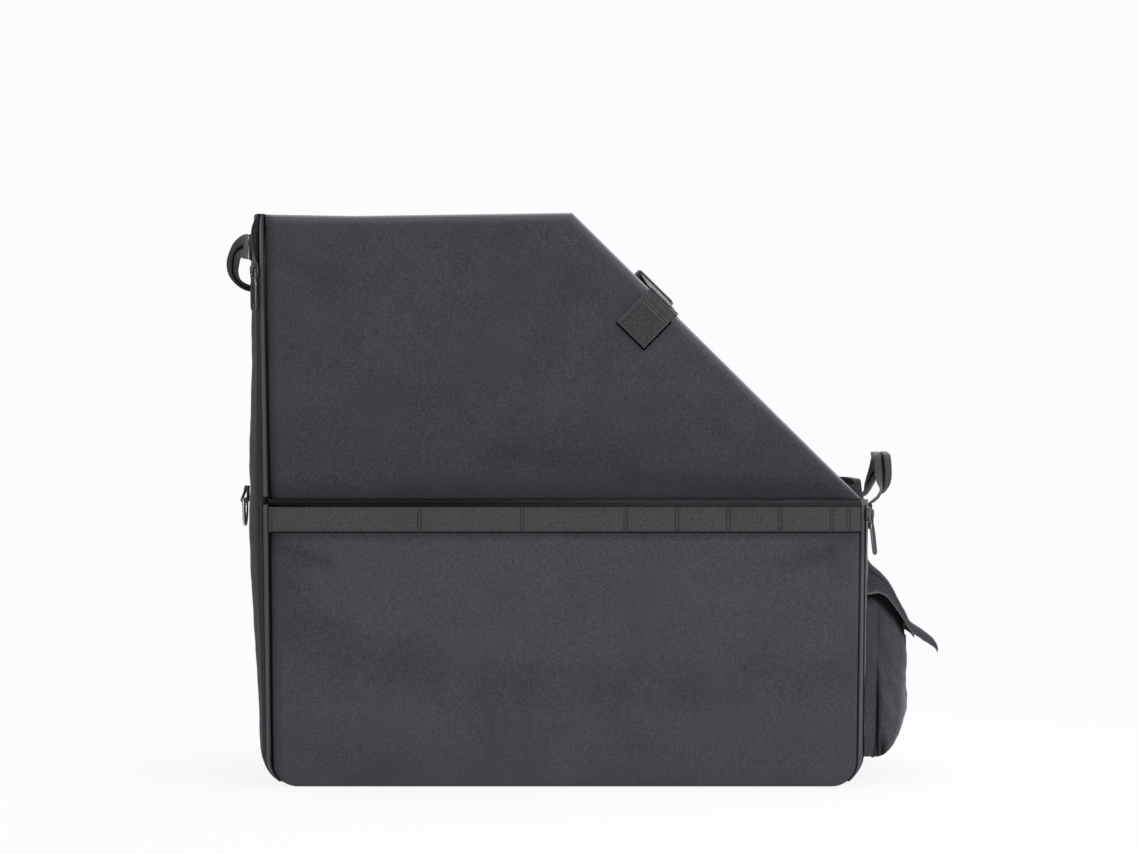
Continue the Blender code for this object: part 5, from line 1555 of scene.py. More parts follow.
@dataclass
class Straps(Part):
    """The strap over the sloping opening: sewn patches, tails, both halves of webbing and the buckle."""

    width: float = 0.038
    thick: float = 0.0015
    along_slope: float = 0.120
    patch: float = 0.0390
    patch_thick: float = 0.0030
    patch_drop: float = 0.0276
    rise: float = 0.0095
    skew: float = 0.013
    slip: float = 0.0048
    front_end: float = 0.0373
    ladder: float = 0.01315
    back_end: float = 0.032
    bar: float = 0.00175
    course: tuple = ((0.0, 0.0), (0.06, 0.04), (0.30, 0.22), (0.62, 0.66), (0.85, 0.95), (1.0, 1.0))

    def build(self) -> None:
        """Makes every piece of the strap."""
        for face, body in ((FRONT, "front_upper"), (BACK, "shell")):
            self.sewn_patch(face, body)
            self.tail(face, body)
        self.webbing("front_strap_webbing", "front_strap", self.front_route(), 110)
        self.webbing("back_strap_webbing", "back_strap", self.back_route(), 110)
        self.maker.dress(("buckle_male", "buckle_female", "buckle_prong_high", "buckle_prong_low"),
                         ACETAL)

    def place(self, face: str, across: float, outward: float, along: float) -> Vector:
        """A point by the strap's own measures at the slope's edge.

        Args:
            face: Front or back.
            across: How far up the slope.
            outward: How far off it.
            along: How far inwards from the long side.

        Returns:
            The point.
        """
        low, high, out = self.shape.slope()
        up = (high - low).normalized()
        origin = Vector((low.x, SIGN[face] * self.shape.half_depth, low.z))
        origin += up * ((high - low).length - self.along_slope)
        return origin + up * across + out * outward + Vector((0, -SIGN[face] * along, 0))

    def route(self, face: str, last: float) -> list[Vector]:
        """The strap's centre line from the slope's edge to a distance from the bag's middle.

        Args:
            face: Front or back.
            last: That distance.

        Returns:
            Its points.
        """
        start = -FIT - self.patch_thick / 2
        lift = 2 * FIT + self.thick / 2
        run = self.shape.half_depth - last
        return [self.place(face, (self.skew + self.slip) * rise - self.slip,
                           lift + (self.rise - lift) * rise, start + (run - start) * along)
                for along, rise in self.course]

    def buckle(self, outward: float, along: float) -> Vector:
        """A point in the buckle's own measures."""
        return self.place(FRONT, self.skew, self.rise + outward, self.shape.half_depth + along)

    def front_route(self) -> list[Vector]:
        """The male half's webbing, threaded through its ladder bars."""
        return self.route(FRONT, self.front_end) + [self.buckle(0.0, -self.ladder)]

    def back_route(self) -> list[Vector]:
        """The female half's webbing, looped round its bar and sewn back on itself.

        Returns:
            Its points.
        """
        end, middle = self.back_end, self.back_end - self.bar
        drop = self.bar + FIT + self.thick / 2
        near = end - 2 * self.bar - 2 * FIT - self.thick / 2
        loop = ((-drop, end + 0.012), (-drop, middle), (-drop * 0.8, near + 0.0004), (0.0, near),
                (drop * 0.8, near + 0.0004), (drop, middle), (drop, end + 0.016))
        return self.route(BACK, end + 0.030) + [self.buckle(*spot) for spot in loop]

    def webbing(self, name: str, body: str, route: list[Vector], steps: int, node: str = "") -> None:
        """A length of the strap, swept along its route.

        Args:
            name: The piece's name.
            body: The body that it rides on.
            route: Its centre line.
            steps: Its sections.
            node: The solid that it stands for, where it isn't the body's namesake.
        """
        low, high, _ = self.shape.slope()
        width = (high - low).normalized() * self.width
        ribbon = Ribbon([(place, width, self.thick) for place in route], steps)
        self.maker.piece(name, ribbon.mesh(), WEBBING, body, (node or body,))

    def spot(self, face: str, u: float, w: float, back: float) -> Vector:
        """A point on the patch, from its middle.

        Args:
            face: Front or back.
            u: How far up the slope.
            w: How far off it.
            back: How far behind the patch's face.

        Returns:
            The point.
        """
        return self.place(face, u - self.slip, w - self.patch_drop, -FIT - self.patch_thick + back)

    def seam(self, face: str, first: tuple, second: tuple) -> Run:
        """A straight seam between two (u, w) points of the patch's face.

        Args:
            face: Front or back.
            first: Where it starts.
            second: Where it ends.

        Returns:
            Its places and normals.
        """
        outward = Vector((0, SIGN[face], 0))
        run = []
        for step in range(14):
            u, w = (first[i] + (second[i] - first[i]) * step / 13 for i in (0, 1))
            run.append((self.spot(face, u, w, 0.0) - outward * 0.1 * MM, outward))
        return run

    def sewn_patch(self, face: str, body: str) -> None:
        """The square patch, lapped over the strap's end and sewn inside its edges.

        Args:
            face: Front or back.
            body: The body that it rides on.
        """
        half = self.patch / 2

        def surface(across: float, along: float) -> Vector:
            """A place on the patch's face: low at its edges, dented along its stitches."""
            u, w = (across * 2 - 1), (along * 2 - 1)
            edge = max(abs(u), abs(w))
            back = self.patch_thick * 0.62 * smoothstep(0.955, 1.0, edge)
            back += 0.4 * MM * hump(edge, 0.88, 0.035)
            back += 0.18 * MM * hump(min(abs(u - w), abs(u + w)), 0.0, 0.05) * (edge < 0.85)
            return self.spot(face, u * half, w * half,
                             back - crumple(Vector((u, w, SIGN[face])), 0.6, 0.2 * MM))

        def tone(across: float, along: float) -> float:
            """Painted shadow along the two lower edges, a painted highlight along the upper ones, darker
            all over.
            """
            u, w = across * 2 - 1, along * 2 - 1
            shade = 0.76 * smoothstep(0.86, 0.94, max(-u, -w))
            return 0.25 * smoothstep(0.92, 0.99, max(u, w)) - 0.24 - shade

        bm = plate(surface, 48, (self.patch, self.patch), Vector((0, SIGN[face], 0)),
                   SIGN[face] * (self.shape.half_depth + FIT), tone)
        self.maker.piece(face + "_patch", bm, WEBBING, body, (face + "_strap_patch",))
        edge = 0.88 * half
        top = edge * 0.82
        corners = [(-edge, -edge), (edge, -edge), (edge, edge), (-edge, edge), (-edge, -edge)]
        pairs = [*zip(corners, corners[1:]), ((-edge, top), (edge, top))]
        self.maker.stitches(face + "_patch_stitches", [self.seam(face, *pair) for pair in pairs], body,
                            0.5, 1.7, 2.5, PALE_THREAD)
        pairs = (((-edge, -edge), (edge, top)), ((edge, -edge), (-edge, top)))
        self.maker.stitches(face + "_patch_cross", [self.seam(face, *pair) for pair in pairs], body,
                            0.3, 1.7, 2.6)

    def tail(self, face: str, body: str) -> None:
        """The strap's sewn end between the patch and the sloping edge.

        Args:
            face: Front or back.
            body: The body that it rides on.
        """
        depth = (-FIT - self.patch_thick) / 2
        route = [self.place(face, -self.slip, outward, depth)
                 for outward in (-self.patch_drop + self.patch / 2 + FIT, -self.patch_drop / 8, FIT)]
        self.webbing(face + "_tail", body, route, 12, face + "_strap_tail")


@dataclass
class Handles(Part):
    """The carrying handles and their sewn-down ends.

    Each handle's rows give the stations from a root to the middle: (place, width vector, thickness).
    """

    span: float = 0.070
    leg: float = 0.025
    grip: float = 0.017
    thin: float = 0.0008
    thick: float = 0.0024
    fold: float = 0.0048
    reach: float = 0.0485
    margin: float = 0.003

    def build(self) -> None:
        """Makes both handles and the four anchors."""
        self.loop(LEFT, *self.left_rows())
        self.loop(RIGHT, *self.right_rows())
        for side in (LEFT, RIGHT):
            for place in (FRONT, BACK):
                self.anchor(side + "_handle_anchor_" + place, side)

    def left_rows(self) -> tuple[list, list]:
        """Stations of the tall end's handle.

        Returns:
            The rows of its near leg and of the far one, which hangs closer to the wall.
        """
        low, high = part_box("left_handle_anchor_front")
        x, height = low.x - FIT - self.thin / 2, (low.z + high.z) / 2
        span, leg, fold, folded = self.span, self.leg, self.fold, self.leg / 2
        bow, drop = x - 0.0175, height - 0.0375
        near = [
            ((x, -span - 0.013, height), (0, 0, leg), self.thin),
            ((x - 0.0018, -span - 0.006, height + 0.0010), (0, 0, leg), self.thick * 0.7),
            ((x - 0.0055, -span + 0.001, height + 0.0012), (0, 0, leg * 0.98), self.thick),
            ((x - 0.0095, -span + 0.006, height + 0.0002), (-0.001, 0, leg * 0.86), fold * 0.6),
            ((x - 0.0142, -span + 0.011, height - 0.0035), (-0.006, 0.001, folded * 1.15), fold * 0.8),
            ((bow - 0.0008, -span + 0.018, height - 0.0125), (-folded, 0, 0.004), fold),
            ((bow - 0.0016, -span + 0.026, height - 0.0235), (-folded * 0.84, 0, -0.001), fold * 0.9),
            ((bow + 0.0022, -span + 0.036, drop + 0.0052), (-0.0055, 0, -0.0045), fold * 0.8),
            ((x - 0.0090, -span * 0.28, drop + 0.0006), (-0.003, 0, -0.0062), fold * 0.7),
            ((x - 0.0050, 0.0, drop), (-0.001, 0, -0.0066), fold * 0.6)]
        far = [((x + (place[0] - x) * 0.42, -place[1], place[2]), (width[0] * 0.5, -width[1], width[2]),
                thick) for place, width, thick in near[:-1]]
        return near, far

    def right_rows(self) -> tuple[list, list]:
        """Stations of the low end's handle, whose legs rise past the hinge before they lean out.

        Returns:
            The rows of its near leg and of the far one, which leans further out.
        """
        _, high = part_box("right_handle_anchor_front")
        x, height = high.x - 0.00075, high.z + FIT
        span, leg, grip, fold = self.span, self.leg, self.grip, self.fold
        top = height + self.reach
        near = [
            ((x, -span, height), (0, leg, 0), self.thin),
            ((x + 0.0036, -span, height + 0.0022), (0.0003, leg, 0), self.thick * 0.7),
            ((x + 0.0070, -span, height + 0.0056), (0.0010, leg * 0.97, 0), self.thick * 0.9),
            ((x + 0.0096, -span + 0.001, height + 0.0096), (0.0030, leg * 0.88, 0), self.thick),
            ((x + 0.0119, -span + 0.002, height + 0.0140), (0.0080, leg * 0.62, 0), fold * 0.6),
            ((x + 0.0133, -span + 0.004, height + 0.0208), (0.0140, 0.008, 0), fold * 0.7),
            ((x + 0.0141, -span + 0.009, height + 0.0300), (grip, 0.002, 0), fold * 0.9),
            ((x + 0.0141, -span + 0.019, top - 0.0035), (grip, -0.002, 0), fold),
            ((x + 0.0140, -span * 0.43, top - 0.0004), (grip, 0, 0), fold),
            ((x + 0.0160, 0.0, top), (grip, 0, 0), fold)]
        far = [
            ((x, span, height), (0, -leg, 0), self.thin),
            ((x + 0.0036, span, height + 0.0022), (0.0003, -leg, 0), self.thick * 0.7),
            ((x + 0.0072, span, height + 0.0056), (0.001, -leg * 0.95, 0), self.thick * 0.9),
            ((x + 0.0103, span - 0.001, height + 0.0105), (0.0030, -leg * 0.80, 0), fold * 0.6),
            ((x + 0.0146, span - 0.003, height + 0.0215), (0.0080, -leg * 0.40, 0), fold * 0.8),
            ((x + 0.0195, span - 0.008, height + 0.0345), (0.0140, -0.003, 0), fold * 0.9),
            ((x + 0.0212, span - 0.018, top - 0.0035), (grip * 0.92, 0.002, 0), fold),
            ((x + 0.0198, span * 0.43, top - 0.0004), (grip * 0.96, 0, 0), fold)]
        return near, far

    def loop(self, side: str, near: list, far: list) -> None:
        """A handle: webbing legs that twist into a folded grip.

        Args:
            side: Left or right.
            near: The near half's rows, up to the middle.
            far: The far half's rows, from its root.
        """
        rows = [(Vector(centre), Vector(width), thick)
                for centre, width, thick in (*near, *reversed(far))]
        ribbon = Ribbon(rows, 190, 48, seam=0.35, wave=0.35 * MM, seed=SIGN[side])
        self.maker.piece(side + "_carry_handle", ribbon.mesh(), WEBBING, side + "_handle",
                         (side + "_handle",))
        runs = [ribbon.stitch_run(offset, 0.22, 0.78, face)
                for offset in (-0.14, 0.14) for face in (-1, 1)]
        self.maker.stitches(side + "_handle_stitches", runs, side + "_handle", 0.4)

    def anchor(self, node: str, side: str) -> None:
        """The sewn-down end of a handle, with a box of stitches.

        Args:
            node: Its solid's name.
            side: Left or right.
        """
        low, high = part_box(node)
        sign = SIGN[side]
        outer, inner = (low.x, high.x) if side == LEFT else (high.x, low.x)
        out = Vector((sign, 0, 0))

        def surface(across: float, along: float) -> Vector:
            """A place on the anchor's face."""
            u, w = across * 2 - 1, along * 2 - 1
            edge = max(abs(u), abs(w))
            back = 0.9 * MM * smoothstep(0.93, 1.0, edge) + 0.3 * MM * hump(edge, 0.84, 0.05)
            return Vector((outer - sign * back, (low.y + high.y) / 2 + u * (high.y - low.y) / 2,
                           (low.z + high.z) / 2 + w * (high.z - low.z) / 2))

        bm = plate(surface, 30, (high.y - low.y, high.z - low.z), out, inner)
        self.maker.piece(node + "_webbing", bm, WEBBING, "shell", (node,))
        (y0, z0), (y1, z1) = ((p.y + m, p.z + m) for p, m in ((low, self.margin), (high, -self.margin)))
        corners = [Vector((outer - sign * 0.1 * MM, y, z))
                   for y, z in ((y0, z0), (y1, z0), (y1, z1), (y0, z1), (y0, z0))]
        runs = [[(place, out) for place in pair] for pair in zip(corners, corners[1:])]
        self.maker.stitches(node + "_stitches", runs, "shell", 0.4)


@dataclass
class Hardware(Part):
    """The zip sliders and pulls, and the D-ring with its tab."""

    ease: float = 0.0007
    tab_thick: float = 0.0015
    shoulder: float = -0.0054
    turns: tuple = (35, 65, 90, 115, 145, 180)
    narrow: tuple = (1.0, 0.96, 0.88, 0.84, 0.84, 0.84, 0.84, 0.84, 0.84, 0.93, 1.0)

    def build(self) -> None:
        """Dresses the sliders and pulls and makes the ring and its tab."""
        metal = tuple(side + part for side in (LEFT, RIGHT) for part in ("_zip_slider", "_zip_pull"))
        self.maker.dress(metal, GUNMETAL)
        low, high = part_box("d_ring")
        rod = (high.x - low.x) / 2
        middle = Vector(((low.x + high.x) / 2, (low.y + high.y) / 2, high.z - rod))
        self.ring(middle, rod, (high.y - low.y) / 2 - rod, low.z + rod - middle.z)
        self.tab(middle, rod)

    def ring(self, middle: Vector, rod: float, half: float, foot: float) -> None:
        """The D-ring: round wire bent to a D and joined in its straight bar.

        Args:
            middle: The middle of its bar.
            rod: The wire's radius.
            half: Half of its width, to the wire's middle.
            foot: How far below the bar its bow reaches, as a height.
        """
        bend = [(half * 0.92, -0.0006), (half, -0.0035)]
        knots = [(-half * 0.55, 0.0), (half * 0.55, 0.0), *bend]
        for step in range(1, 16):
            turn = math.pi * step / 16
            drop = (foot - self.shoulder) * math.sin(turn)
            knots.append((half * math.cos(turn), self.shoulder + drop))
        knots += [(-y, z) for y, z in reversed(bend)]
        points = [middle + Vector((0, y, z)) for y, z in knots]

        def surface(turn: float, along: float) -> Vector:
            """A place on the wire's skin."""
            first, share = int(along * len(points)), along * len(points) % 1.0
            a, b, c, d = (points[(first + i) % len(points)] for i in (-1, 0, 1, 2))
            tangent = ((c - a) * (1 - share) + (d - b) * share).normalized()
            side = Vector((1, 0, 0))
            up = tangent.cross(side).normalized()
            angle = 2 * math.pi * turn
            return between(a, b, c, d, share) + side * rod * math.cos(angle) + up * rod * math.sin(angle)

        bm = mapped_grid(surface, 16, 120, (2 * math.pi * rod, 0.09), closed=True)
        bmesh.ops.remove_doubles(bm, verts=bm.verts, dist=1e-6)
        bmesh.ops.recalc_face_normals(bm, faces=bm.faces)
        self.maker.piece("d_ring_wire", bm, NICKEL, "d_ring", ("d_ring",))

    def tab(self, bar: Vector, rod: float) -> None:
        """The ring's webbing tab, folded round its bar and sewn down.

        Args:
            bar: The middle of that bar.
            rod: The wire's radius.
        """
        low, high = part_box("ring_tab")
        bar.y = (low.y + high.y) / 2
        wrap = rod + self.ease + self.tab_thick / 2
        back = high.x - self.tab_thick / 2
        route = [(back, high.z), (back, bar.z + 0.006), (back, bar.z)]
        route += [(bar.x + wrap * math.cos(turn), bar.z - wrap * math.sin(turn))
                  for turn in map(math.radians, self.turns)]
        route += [(back - 0.003, bar.z + (high.z - bar.z) * 0.6), (back - 0.0018, high.z)]
        width = high.y - low.y
        ribbon = Ribbon([(Vector((x, bar.y, z)), Vector((0, width * share, 0)), self.tab_thick)
                         for (x, z), share in zip(route, self.narrow)], 70)
        self.maker.piece("ring_tab_webbing", ribbon.mesh(), WEBBING, "shell", ("ring_tab",))


@dataclass
class Pocket(Part):
    """The bellows pocket on the low end with its flap and its hook and loop strips.

    The flap's rows are (reach, drop, depth of its wing) from its hinge to its lip. The flap is one
    sheet, cut to flap_cut before its wings and hem were folded.
    """

    half: float = 0.100
    foot: float = 0.022
    mouth: float = 0.151
    depth: float = 0.034
    bulge: float = 0.006
    cloth: float = 0.0012
    corner: float = 0.012
    pleat: float = 0.006
    side_rise: float = 0.046
    hinge: float = 0.2235
    overhang: float = 0.004
    flap_cloth: float = 0.00144
    flap_cut: tuple = (0.26, 0.117)
    flap_area: float = 0.0258
    flap_map: tuple = (0.26, 0.115)
    hem_rise: float = 0.0006
    flap_grid: tuple = (132, 88)
    flat_share: float = 0.78
    turn: float = 0.008
    wall_x: float = 0.3093
    flap_rows: tuple = ((0.0, 0.0, 0.0350), (0.010, 0.0163, 0.0205), (0.021, 0.0342, 0.0150),
                        (0.031, 0.0540, 0.0105), (0.038, 0.0659, 0.0086), (0.048, 0.0729, 0.0096),
                        (0.0595, 0.0818, 0.0080), (0.0640, 0.0905, 0.0045))
    start: float = 0.0

    def build(self) -> None:
        """Makes the pocket, the flap and the strips."""
        self.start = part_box("pocket_flap")[0].x
        self.body()
        self.flap()
        self.strip("pocket_loop_strip", "shell")
        self.strip("flap_hook_strip", "pocket_flap")

    def reach(self, height: float) -> float:
        """How far the pocket's front stands off the end at a height, at its sides."""
        share = min((height - self.foot) / ((self.mouth - self.foot) * 0.6), 1.0)
        return self.depth * math.sqrt(max(1 - (1 - share) ** 3, 0.0))

    def section(self, height: float) -> list[Vector]:
        """A section of the pocket's cloth from one sewn edge round to the other.

        Args:
            height: The height of its front, which is lower than its sides near the mouth.

        Returns:
            Its points.
        """
        depth, half = self.reach(height), self.half
        fill = depth / self.depth
        share = (height - self.foot) / (self.mouth - self.foot)
        lift = self.side_rise * smoothstep(0.55, 1.0, share)
        wall = self.shape.end_face(RIGHT, 0.0, height + lift) + FIT
        base = wall + (self.wall_x - wall) * smoothstep(0.0, 0.4, fill)
        side_base = self.shape.end_face(RIGHT, half, height + lift) + FIT
        pleat = self.pleat * min(fill * 1.3, 1.0) * (1 - 0.75 * smoothstep(0.30, 0.70, share))
        corner = self.corner * depth / self.depth
        front = base + depth

        def swell(y: float) -> float:
            """How much further the front stands out between its sides."""
            return self.bulge * depth / self.depth * (1 - 0.7 * share**3) * (1 - (y / half) ** 2)

        edge = half - corner * 1.3
        near = [(side_base, half - 0.0006), (side_base + depth * 0.05, half - 0.0003),
                *[(base + depth * out, half - pleat * tuck)
                  for out, tuck in ((0.10, 0.55), (0.145, 1.0), (0.19, 0.5), (0.26, 0.0))],
                (base + depth * 0.42, half + 0.0004), (base + depth * 0.60, half - pleat * 0.06),
                (front - corner, half - pleat * 0.2),
                (front - corner * 0.3, half - pleat * 0.2 - corner * 0.3), (front + swell(edge), edge)]
        middle = [(front + swell(y * half), y * half)
                  for y in (0.72, 0.56, 0.40, 0.24, 0.08, -0.08, -0.24, -0.40, -0.56, -0.72)]
        return rounded([
            Vector((x, y, height + lift * min(max((front - x) / max(depth, 1e-4), 0.0), 1.0) ** 0.65))
            for x, y in near + middle + [(x, -y) for x, y in reversed(near)]])

    def body(self) -> None:
        """The pocket's cloth: pleated sides, bulging front, slanting folds and a mouth low in front."""
        rows = 84
        sections = []
        for row in range(rows + 1):
            share = (row / rows) ** 1.7 * 0.985 + 0.015
            ring = self.section(self.foot + (self.mouth - self.foot) * share)
            sections.append([point + self.fold(point, at / (len(ring) - 1), share)
                             for at, point in enumerate(ring)])
        columns = len(sections[0]) - 1

        def tone(around: float, up: float) -> float:
            """In shade in the pleats and under the flap's wings."""
            x, y, z = sections[round(up * rows)][round(around * columns)]
            valley = hump(x, 0.3150, 0.0010) * fall(0.085, 0.125, z)
            valley += hump(x, 0.3205, 0.0030) * fall(0.030, 0.048, z)
            valley *= smoothstep(0.088, 0.092, abs(y))
            hem = self.hem_height(x)
            deep = 0.65 + 0.35 * smoothstep(0.312, 0.322, x)
            under = smoothstep(hem - 0.019 * deep, hem - 0.011 * deep, z)
            return 0.05 - 0.9 * valley - 0.95 * (under * smoothstep(0.08, 0.09, abs(y)))

        bm = loft(sections, (0.27, 0.16), closed=False, tone=tone)
        thicken(bm, Vector((1, 0, 0)), self.cloth)
        self.maker.piece("pocket_bellows", bm, CANVAS, "shell", ("pocket_body",))

    def fold(self, point: Vector, around: float, share: float) -> Vector:
        """How far cloth folds move a place of the pocket.

        Args:
            point: The place.
            around: Its share of the way round the pocket.
            share: Its share of the pocket's height.

        Returns:
            The move.
        """
        side = min(around, 1 - around)
        turn = smoothstep(0.26, 0.36, side)
        out = Vector((0.15 + turn, math.copysign(1 - turn, point.y), 0)).normalized()
        calm = (smoothstep(0.10, 0.20, side) * smoothstep(0.02, 0.2, share)
                * (1 - 0.6 * smoothstep(0.85, 1.0, share)))
        across, along = point.x * 0.93 + point.z * 0.42, point.x * 0.42 - point.z * 0.93
        slant = crumple(Vector((across / 0.014, along / 0.060, point.y / 0.09)), 1.0, 2.1 * MM)
        broad = crumple(point, 0.045, 1.6 * MM)
        return out * (slant + broad + crumple(point, 0.009, 0.25 * MM)) * calm

    def hem_height(self, x: float) -> float:
        """How high the hem of the flap's wing hangs at a place across the pocket."""
        rows = tuple((row[0], self.hinge - row[1] - row[2]) for row in self.flap_rows)
        return interpolate(rows, x - self.start)

    def flap_surface(self, across: float, down: float) -> Vector:
        """A place on the flap's outer face, its wings turned down at both sides.

        Args:
            across: The share from its far side to its near one.
            down: The share from its hinge to its lip.

        Returns:
            The place.
        """
        reach, drop, wing = curve_through([Vector(row) for row in self.flap_rows], down)
        half, top, flat = self.half + self.overhang, self.hinge - drop, self.flat_share
        wing, radius = max(wing, 0.003), self.turn * 0.6
        side = abs(across * 2 - 1)
        if side <= flat:
            y = side / flat * (half - radius)
            z = top + 0.0012 * (1 - (y / half) ** 2) * smoothstep(0, 0.3, down)
        else:
            share = (side - flat) / (1 - flat)
            bend = min(share / 0.35, 1.0) * math.pi / 2
            y = half - radius * (1 - math.sin(bend))
            z = top - radius * (1 - math.cos(bend)) * min(1.0, wing / self.turn)
            if share > 0.35:
                z = z + (top - wing - z) * (share - 0.35) / 0.65
        ripple = crumple(Vector((reach * 2.0, y, drop)), 0.03, 1.2 * MM) * smoothstep(0, 0.25, down)
        fade = fall(0.02, 0.22, down)
        start = self.start + (self.shape.end_face(RIGHT, min(y, 0.1), z) + 0.0002 - self.start) * fade
        z -= 0.0030 * fade * fall(0.0, 1.0, drop / 0.03)
        return Vector((start + reach + ripple * 0.5, y if across > 0.5 else -y, z + ripple * 0.4))

    def hem_distance(self, across: float, down: float) -> float:
        """How far a place on the flap lies from its free edges, in metres."""
        return min(min(across, 1 - across) * self.flap_map[0], (1 - down) * self.flap_map[1])

    def flap(self) -> None:
        """The flap: a hemmed canvas sheet with side wings, flared at its lip."""

        def tone(across: float, down: float) -> float:
            """A painted highlight along its edges, with painted shade in a fold inside each hem."""
            near = self.hem_distance(across, down)
            crease_shade = 0.30 * hump(near, 0.0088, 0.0011)
            crease_shade += 0.45 * hump(near, 0.016 + 0.010 * down, 0.0016) * fall(0.3, 0.5, down)
            return 0.02 + 0.45 * fall(0.0004, 0.0024, near) - crease_shade

        columns, rows = self.flap_grid
        bm = mapped_grid(self.flap_surface, columns, rows, self.flap_map, tone=tone)
        hem = bm.verts.layers.float.new("hem")
        for at, vert in enumerate(bm.verts):
            near = self.hem_distance(at % (columns + 1) / columns, at // (columns + 1) / rows)
            vert[hem] = fall(0.0066, 0.0080, near)
        thicken(bm, Vector((0, 0, 1)), self.flap_cloth)
        bm.normal_update()
        for vert in bm.verts:
            vert.co += vert.normal * self.hem_rise * vert[hem]
        piece = self.maker.piece("pocket_flap_cloth", bm, CANVAS, "pocket_flap", ("pocket_flap",))
        area = sum(face.area for face in piece.data.polygons) / 2
        LOG.info("pocket flap: flat size %.3f x %.3f m, area %.4f", *self.flap_cut, area)
        runs = []
        for inset in (0.0060, 0.0085):
            side, lip = inset / self.flap_map[0], inset / self.flap_map[1]
            runs += [[self.hem_point(side, step / 50 * (1 - lip)) for step in range(51)],
                     [self.hem_point(side + (1 - 2 * side) * step / 80, 1 - lip) for step in range(81)],
                     [self.hem_point(1 - side, step / 50 * (1 - lip)) for step in range(51)]]
        self.maker.stitches("pocket_flap_stitches", runs, "pocket_flap", 0.4)

    def hem_point(self, across: float, down: float) -> tuple[Vector, Vector]:
        """A point of a hem's seam and the flap's normal there.

        Args:
            across: The share from the flap's far side.
            down: The share from its hinge.

        Returns:
            The place and the normal.
        """
        face = self.flap_surface
        place = face(across, down)
        side = face(min(across + 0.004, 1), down) - face(max(across - 0.004, 0), down)
        along = face(across, min(down + 0.01, 1)) - face(across, max(down - 0.01, 0))
        normal = along.cross(side).normalized()
        outward = Vector((0.5, math.copysign(1.0, place.y) if abs(across - 0.5) > 0.4 else 0.0, 1.0))
        return place, -normal if normal.dot(outward) < 0 else normal

    def strip(self, node: str, body: str) -> None:
        """A hook or loop strip with a short pile.

        Args:
            node: Its solid's name.
            body: The body that it rides on.
        """
        bm = bmesh.new()
        bm.from_mesh(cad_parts[node].data)
        bmesh.ops.remove_doubles(bm, verts=bm.verts, dist=1e-6)
        bmesh.ops.subdivide_edges(bm, edges=bm.edges, cuts=5, use_grid_fill=True)
        self.maker.piece(node + "_pile", bm, PILE, body, (node,), 40.0)


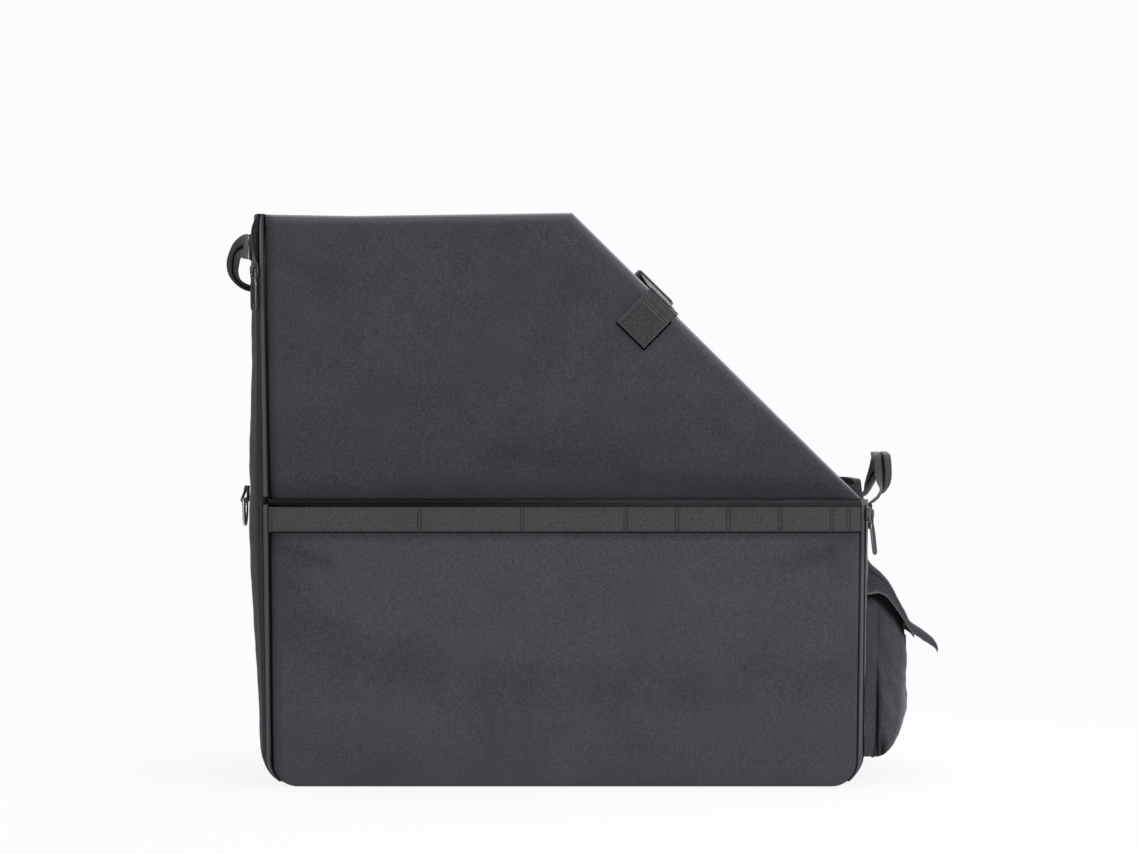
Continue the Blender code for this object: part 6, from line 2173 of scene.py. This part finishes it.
@dataclass
class Studio:
    """Camera, floor, backdrop and lamps. A lamp is (name, place, aim, size, power)."""

    lens: float = 94.8
    place: tuple = (0.0083, -3.070, 0.351)
    white: str = "#fdfbfe"
    lamps: tuple = (("key", (1.9, -2.2, 1.5), (0, 0, 0.25), 1.6, 34.0),
                    ("fill", (-1.3, -2.6, 1.2), (0, 0, 0.25), 1.8, 16.0),
                    ("low", (0.2, -2.6, 0.25), (0, 0, 0.05), 1.2, 6.0),
                    ("side", (2.1, -0.3, 1.9), (0.3, 0, 0.2), 1.2, 16.0),
                    ("top", (0.1, 0.2, 2.4), (0, 0, 0.3), 2.0, 26.0),
                    ("rear", (0.6, 2.4, 1.6), (0, 0, 0.3), 1.8, 22.0))

    def build(self) -> None:
        """Makes the whole studio."""
        self.camera()
        self.floor()
        self.backdrop()
        self.light()
        bpy.context.scene.view_settings.view_transform = "Standard"

    def stand(self, name: str, data: bpy.types.ID, place: tuple) -> bpy.types.Object:
        """Puts a camera, a lamp or a mesh in the scene.

        Args:
            name: Its name.
            data: The camera, the lamp or the mesh.
            place: Where it stands.

        Returns:
            The object.
        """
        obj = bpy.data.objects.new(name, data)
        obj.location = place
        bpy.context.scene.collection.objects.link(obj)
        return obj

    def camera(self) -> None:
        """The camera, level and square to the front."""
        data = bpy.data.cameras.new("camera")
        data.lens, data.sensor_width = self.lens, 36.0
        camera = self.stand("camera", data, self.place)
        camera.rotation_euler = (math.radians(90.0), 0.0, 0.0)
        bpy.context.scene.camera = camera

    def floor(self) -> None:
        """A pale floor, which glows white but keeps the shadow near the cover."""
        bm = bmesh.new()
        bmesh.ops.create_grid(bm, x_segments=1, y_segments=1, size=9.0)
        mesh = bpy.data.meshes.new("floor")
        bm.to_mesh(mesh)
        bm.free()
        material, nodes = blank_material("matt_white_floor")
        diffuse = nodes.add("BsdfDiffuse", {"Color": linear("#f4f2f5")})
        glow = nodes.add("Emission", {"Color": linear(self.white), "Strength": 1.0})
        seen = nodes.math("MAXIMUM", *(nodes.add("LightPath", output=ray)
                                       for ray in ("Is Camera Ray", "Is Glossy Ray")))
        place = nodes.add("TexCoord", output="Object")
        away = nodes.add("VectorMath", (place,), "Value", operation="LENGTH")
        fade = nodes.add("MapRange", {"Value": away, "From Min": 0.30, "From Max": 0.9, "To Min": 0.90,
                                      "To Max": 1.0}, interpolation_type="SMOOTHSTEP")
        mixed = nodes.add("MixShader", (nodes.math("MULTIPLY", seen, fade), diffuse, glow))
        nodes.add("OutputMaterial", {"Surface": mixed})
        mesh.materials.append(material)
        self.stand("floor", mesh, (0.0, 0.0, -0.4 * MM))

    def backdrop(self) -> None:
        """A white world that lights the cover with a cooler, softer grey."""
        world = bpy.data.worlds.new("studio")
        bpy.context.scene.world = world
        world.use_nodes = True
        world.node_tree.nodes.clear()
        nodes = Nodes(world.node_tree)
        seen = nodes.math("MAXIMUM", *(nodes.add("LightPath", output=ray)
                                       for ray in ("Is Camera Ray", "Is Transmission Ray")))
        soft = nodes.add("Background", ((0.93, 0.95, 1.0, 1.0), 0.55))
        white = nodes.add("Background", (linear(self.white), 1.0))
        nodes.add("OutputWorld", (nodes.add("MixShader", (seen, soft, white)),))

    def light(self) -> None:
        """Large soft lamps round the cover and overhead."""
        for name, place, aim, size, power in self.lamps:
            data = bpy.data.lights.new(name, "AREA")
            data.shape, data.size, data.energy = "DISK", size, power
            lamp = self.stand(name, data, place)
            lamp.rotation_euler = (Vector(aim) - Vector(place)).to_track_quat("-Z", "Y").to_euler()


def main() -> None:
    """Builds the studio and dresses the whole cover."""
    logging.basicConfig(level=logging.INFO, format="%(name)s: %(message)s")
    Studio().build()
    maker, shape = Maker(), BagShape()
    for assembly in (Panels, Floor, Ends, Corners, RowWebbing, Straps, Handles, Hardware, Pocket):
        assembly(maker, shape).build()


if __name__ == "__main__":
    main()
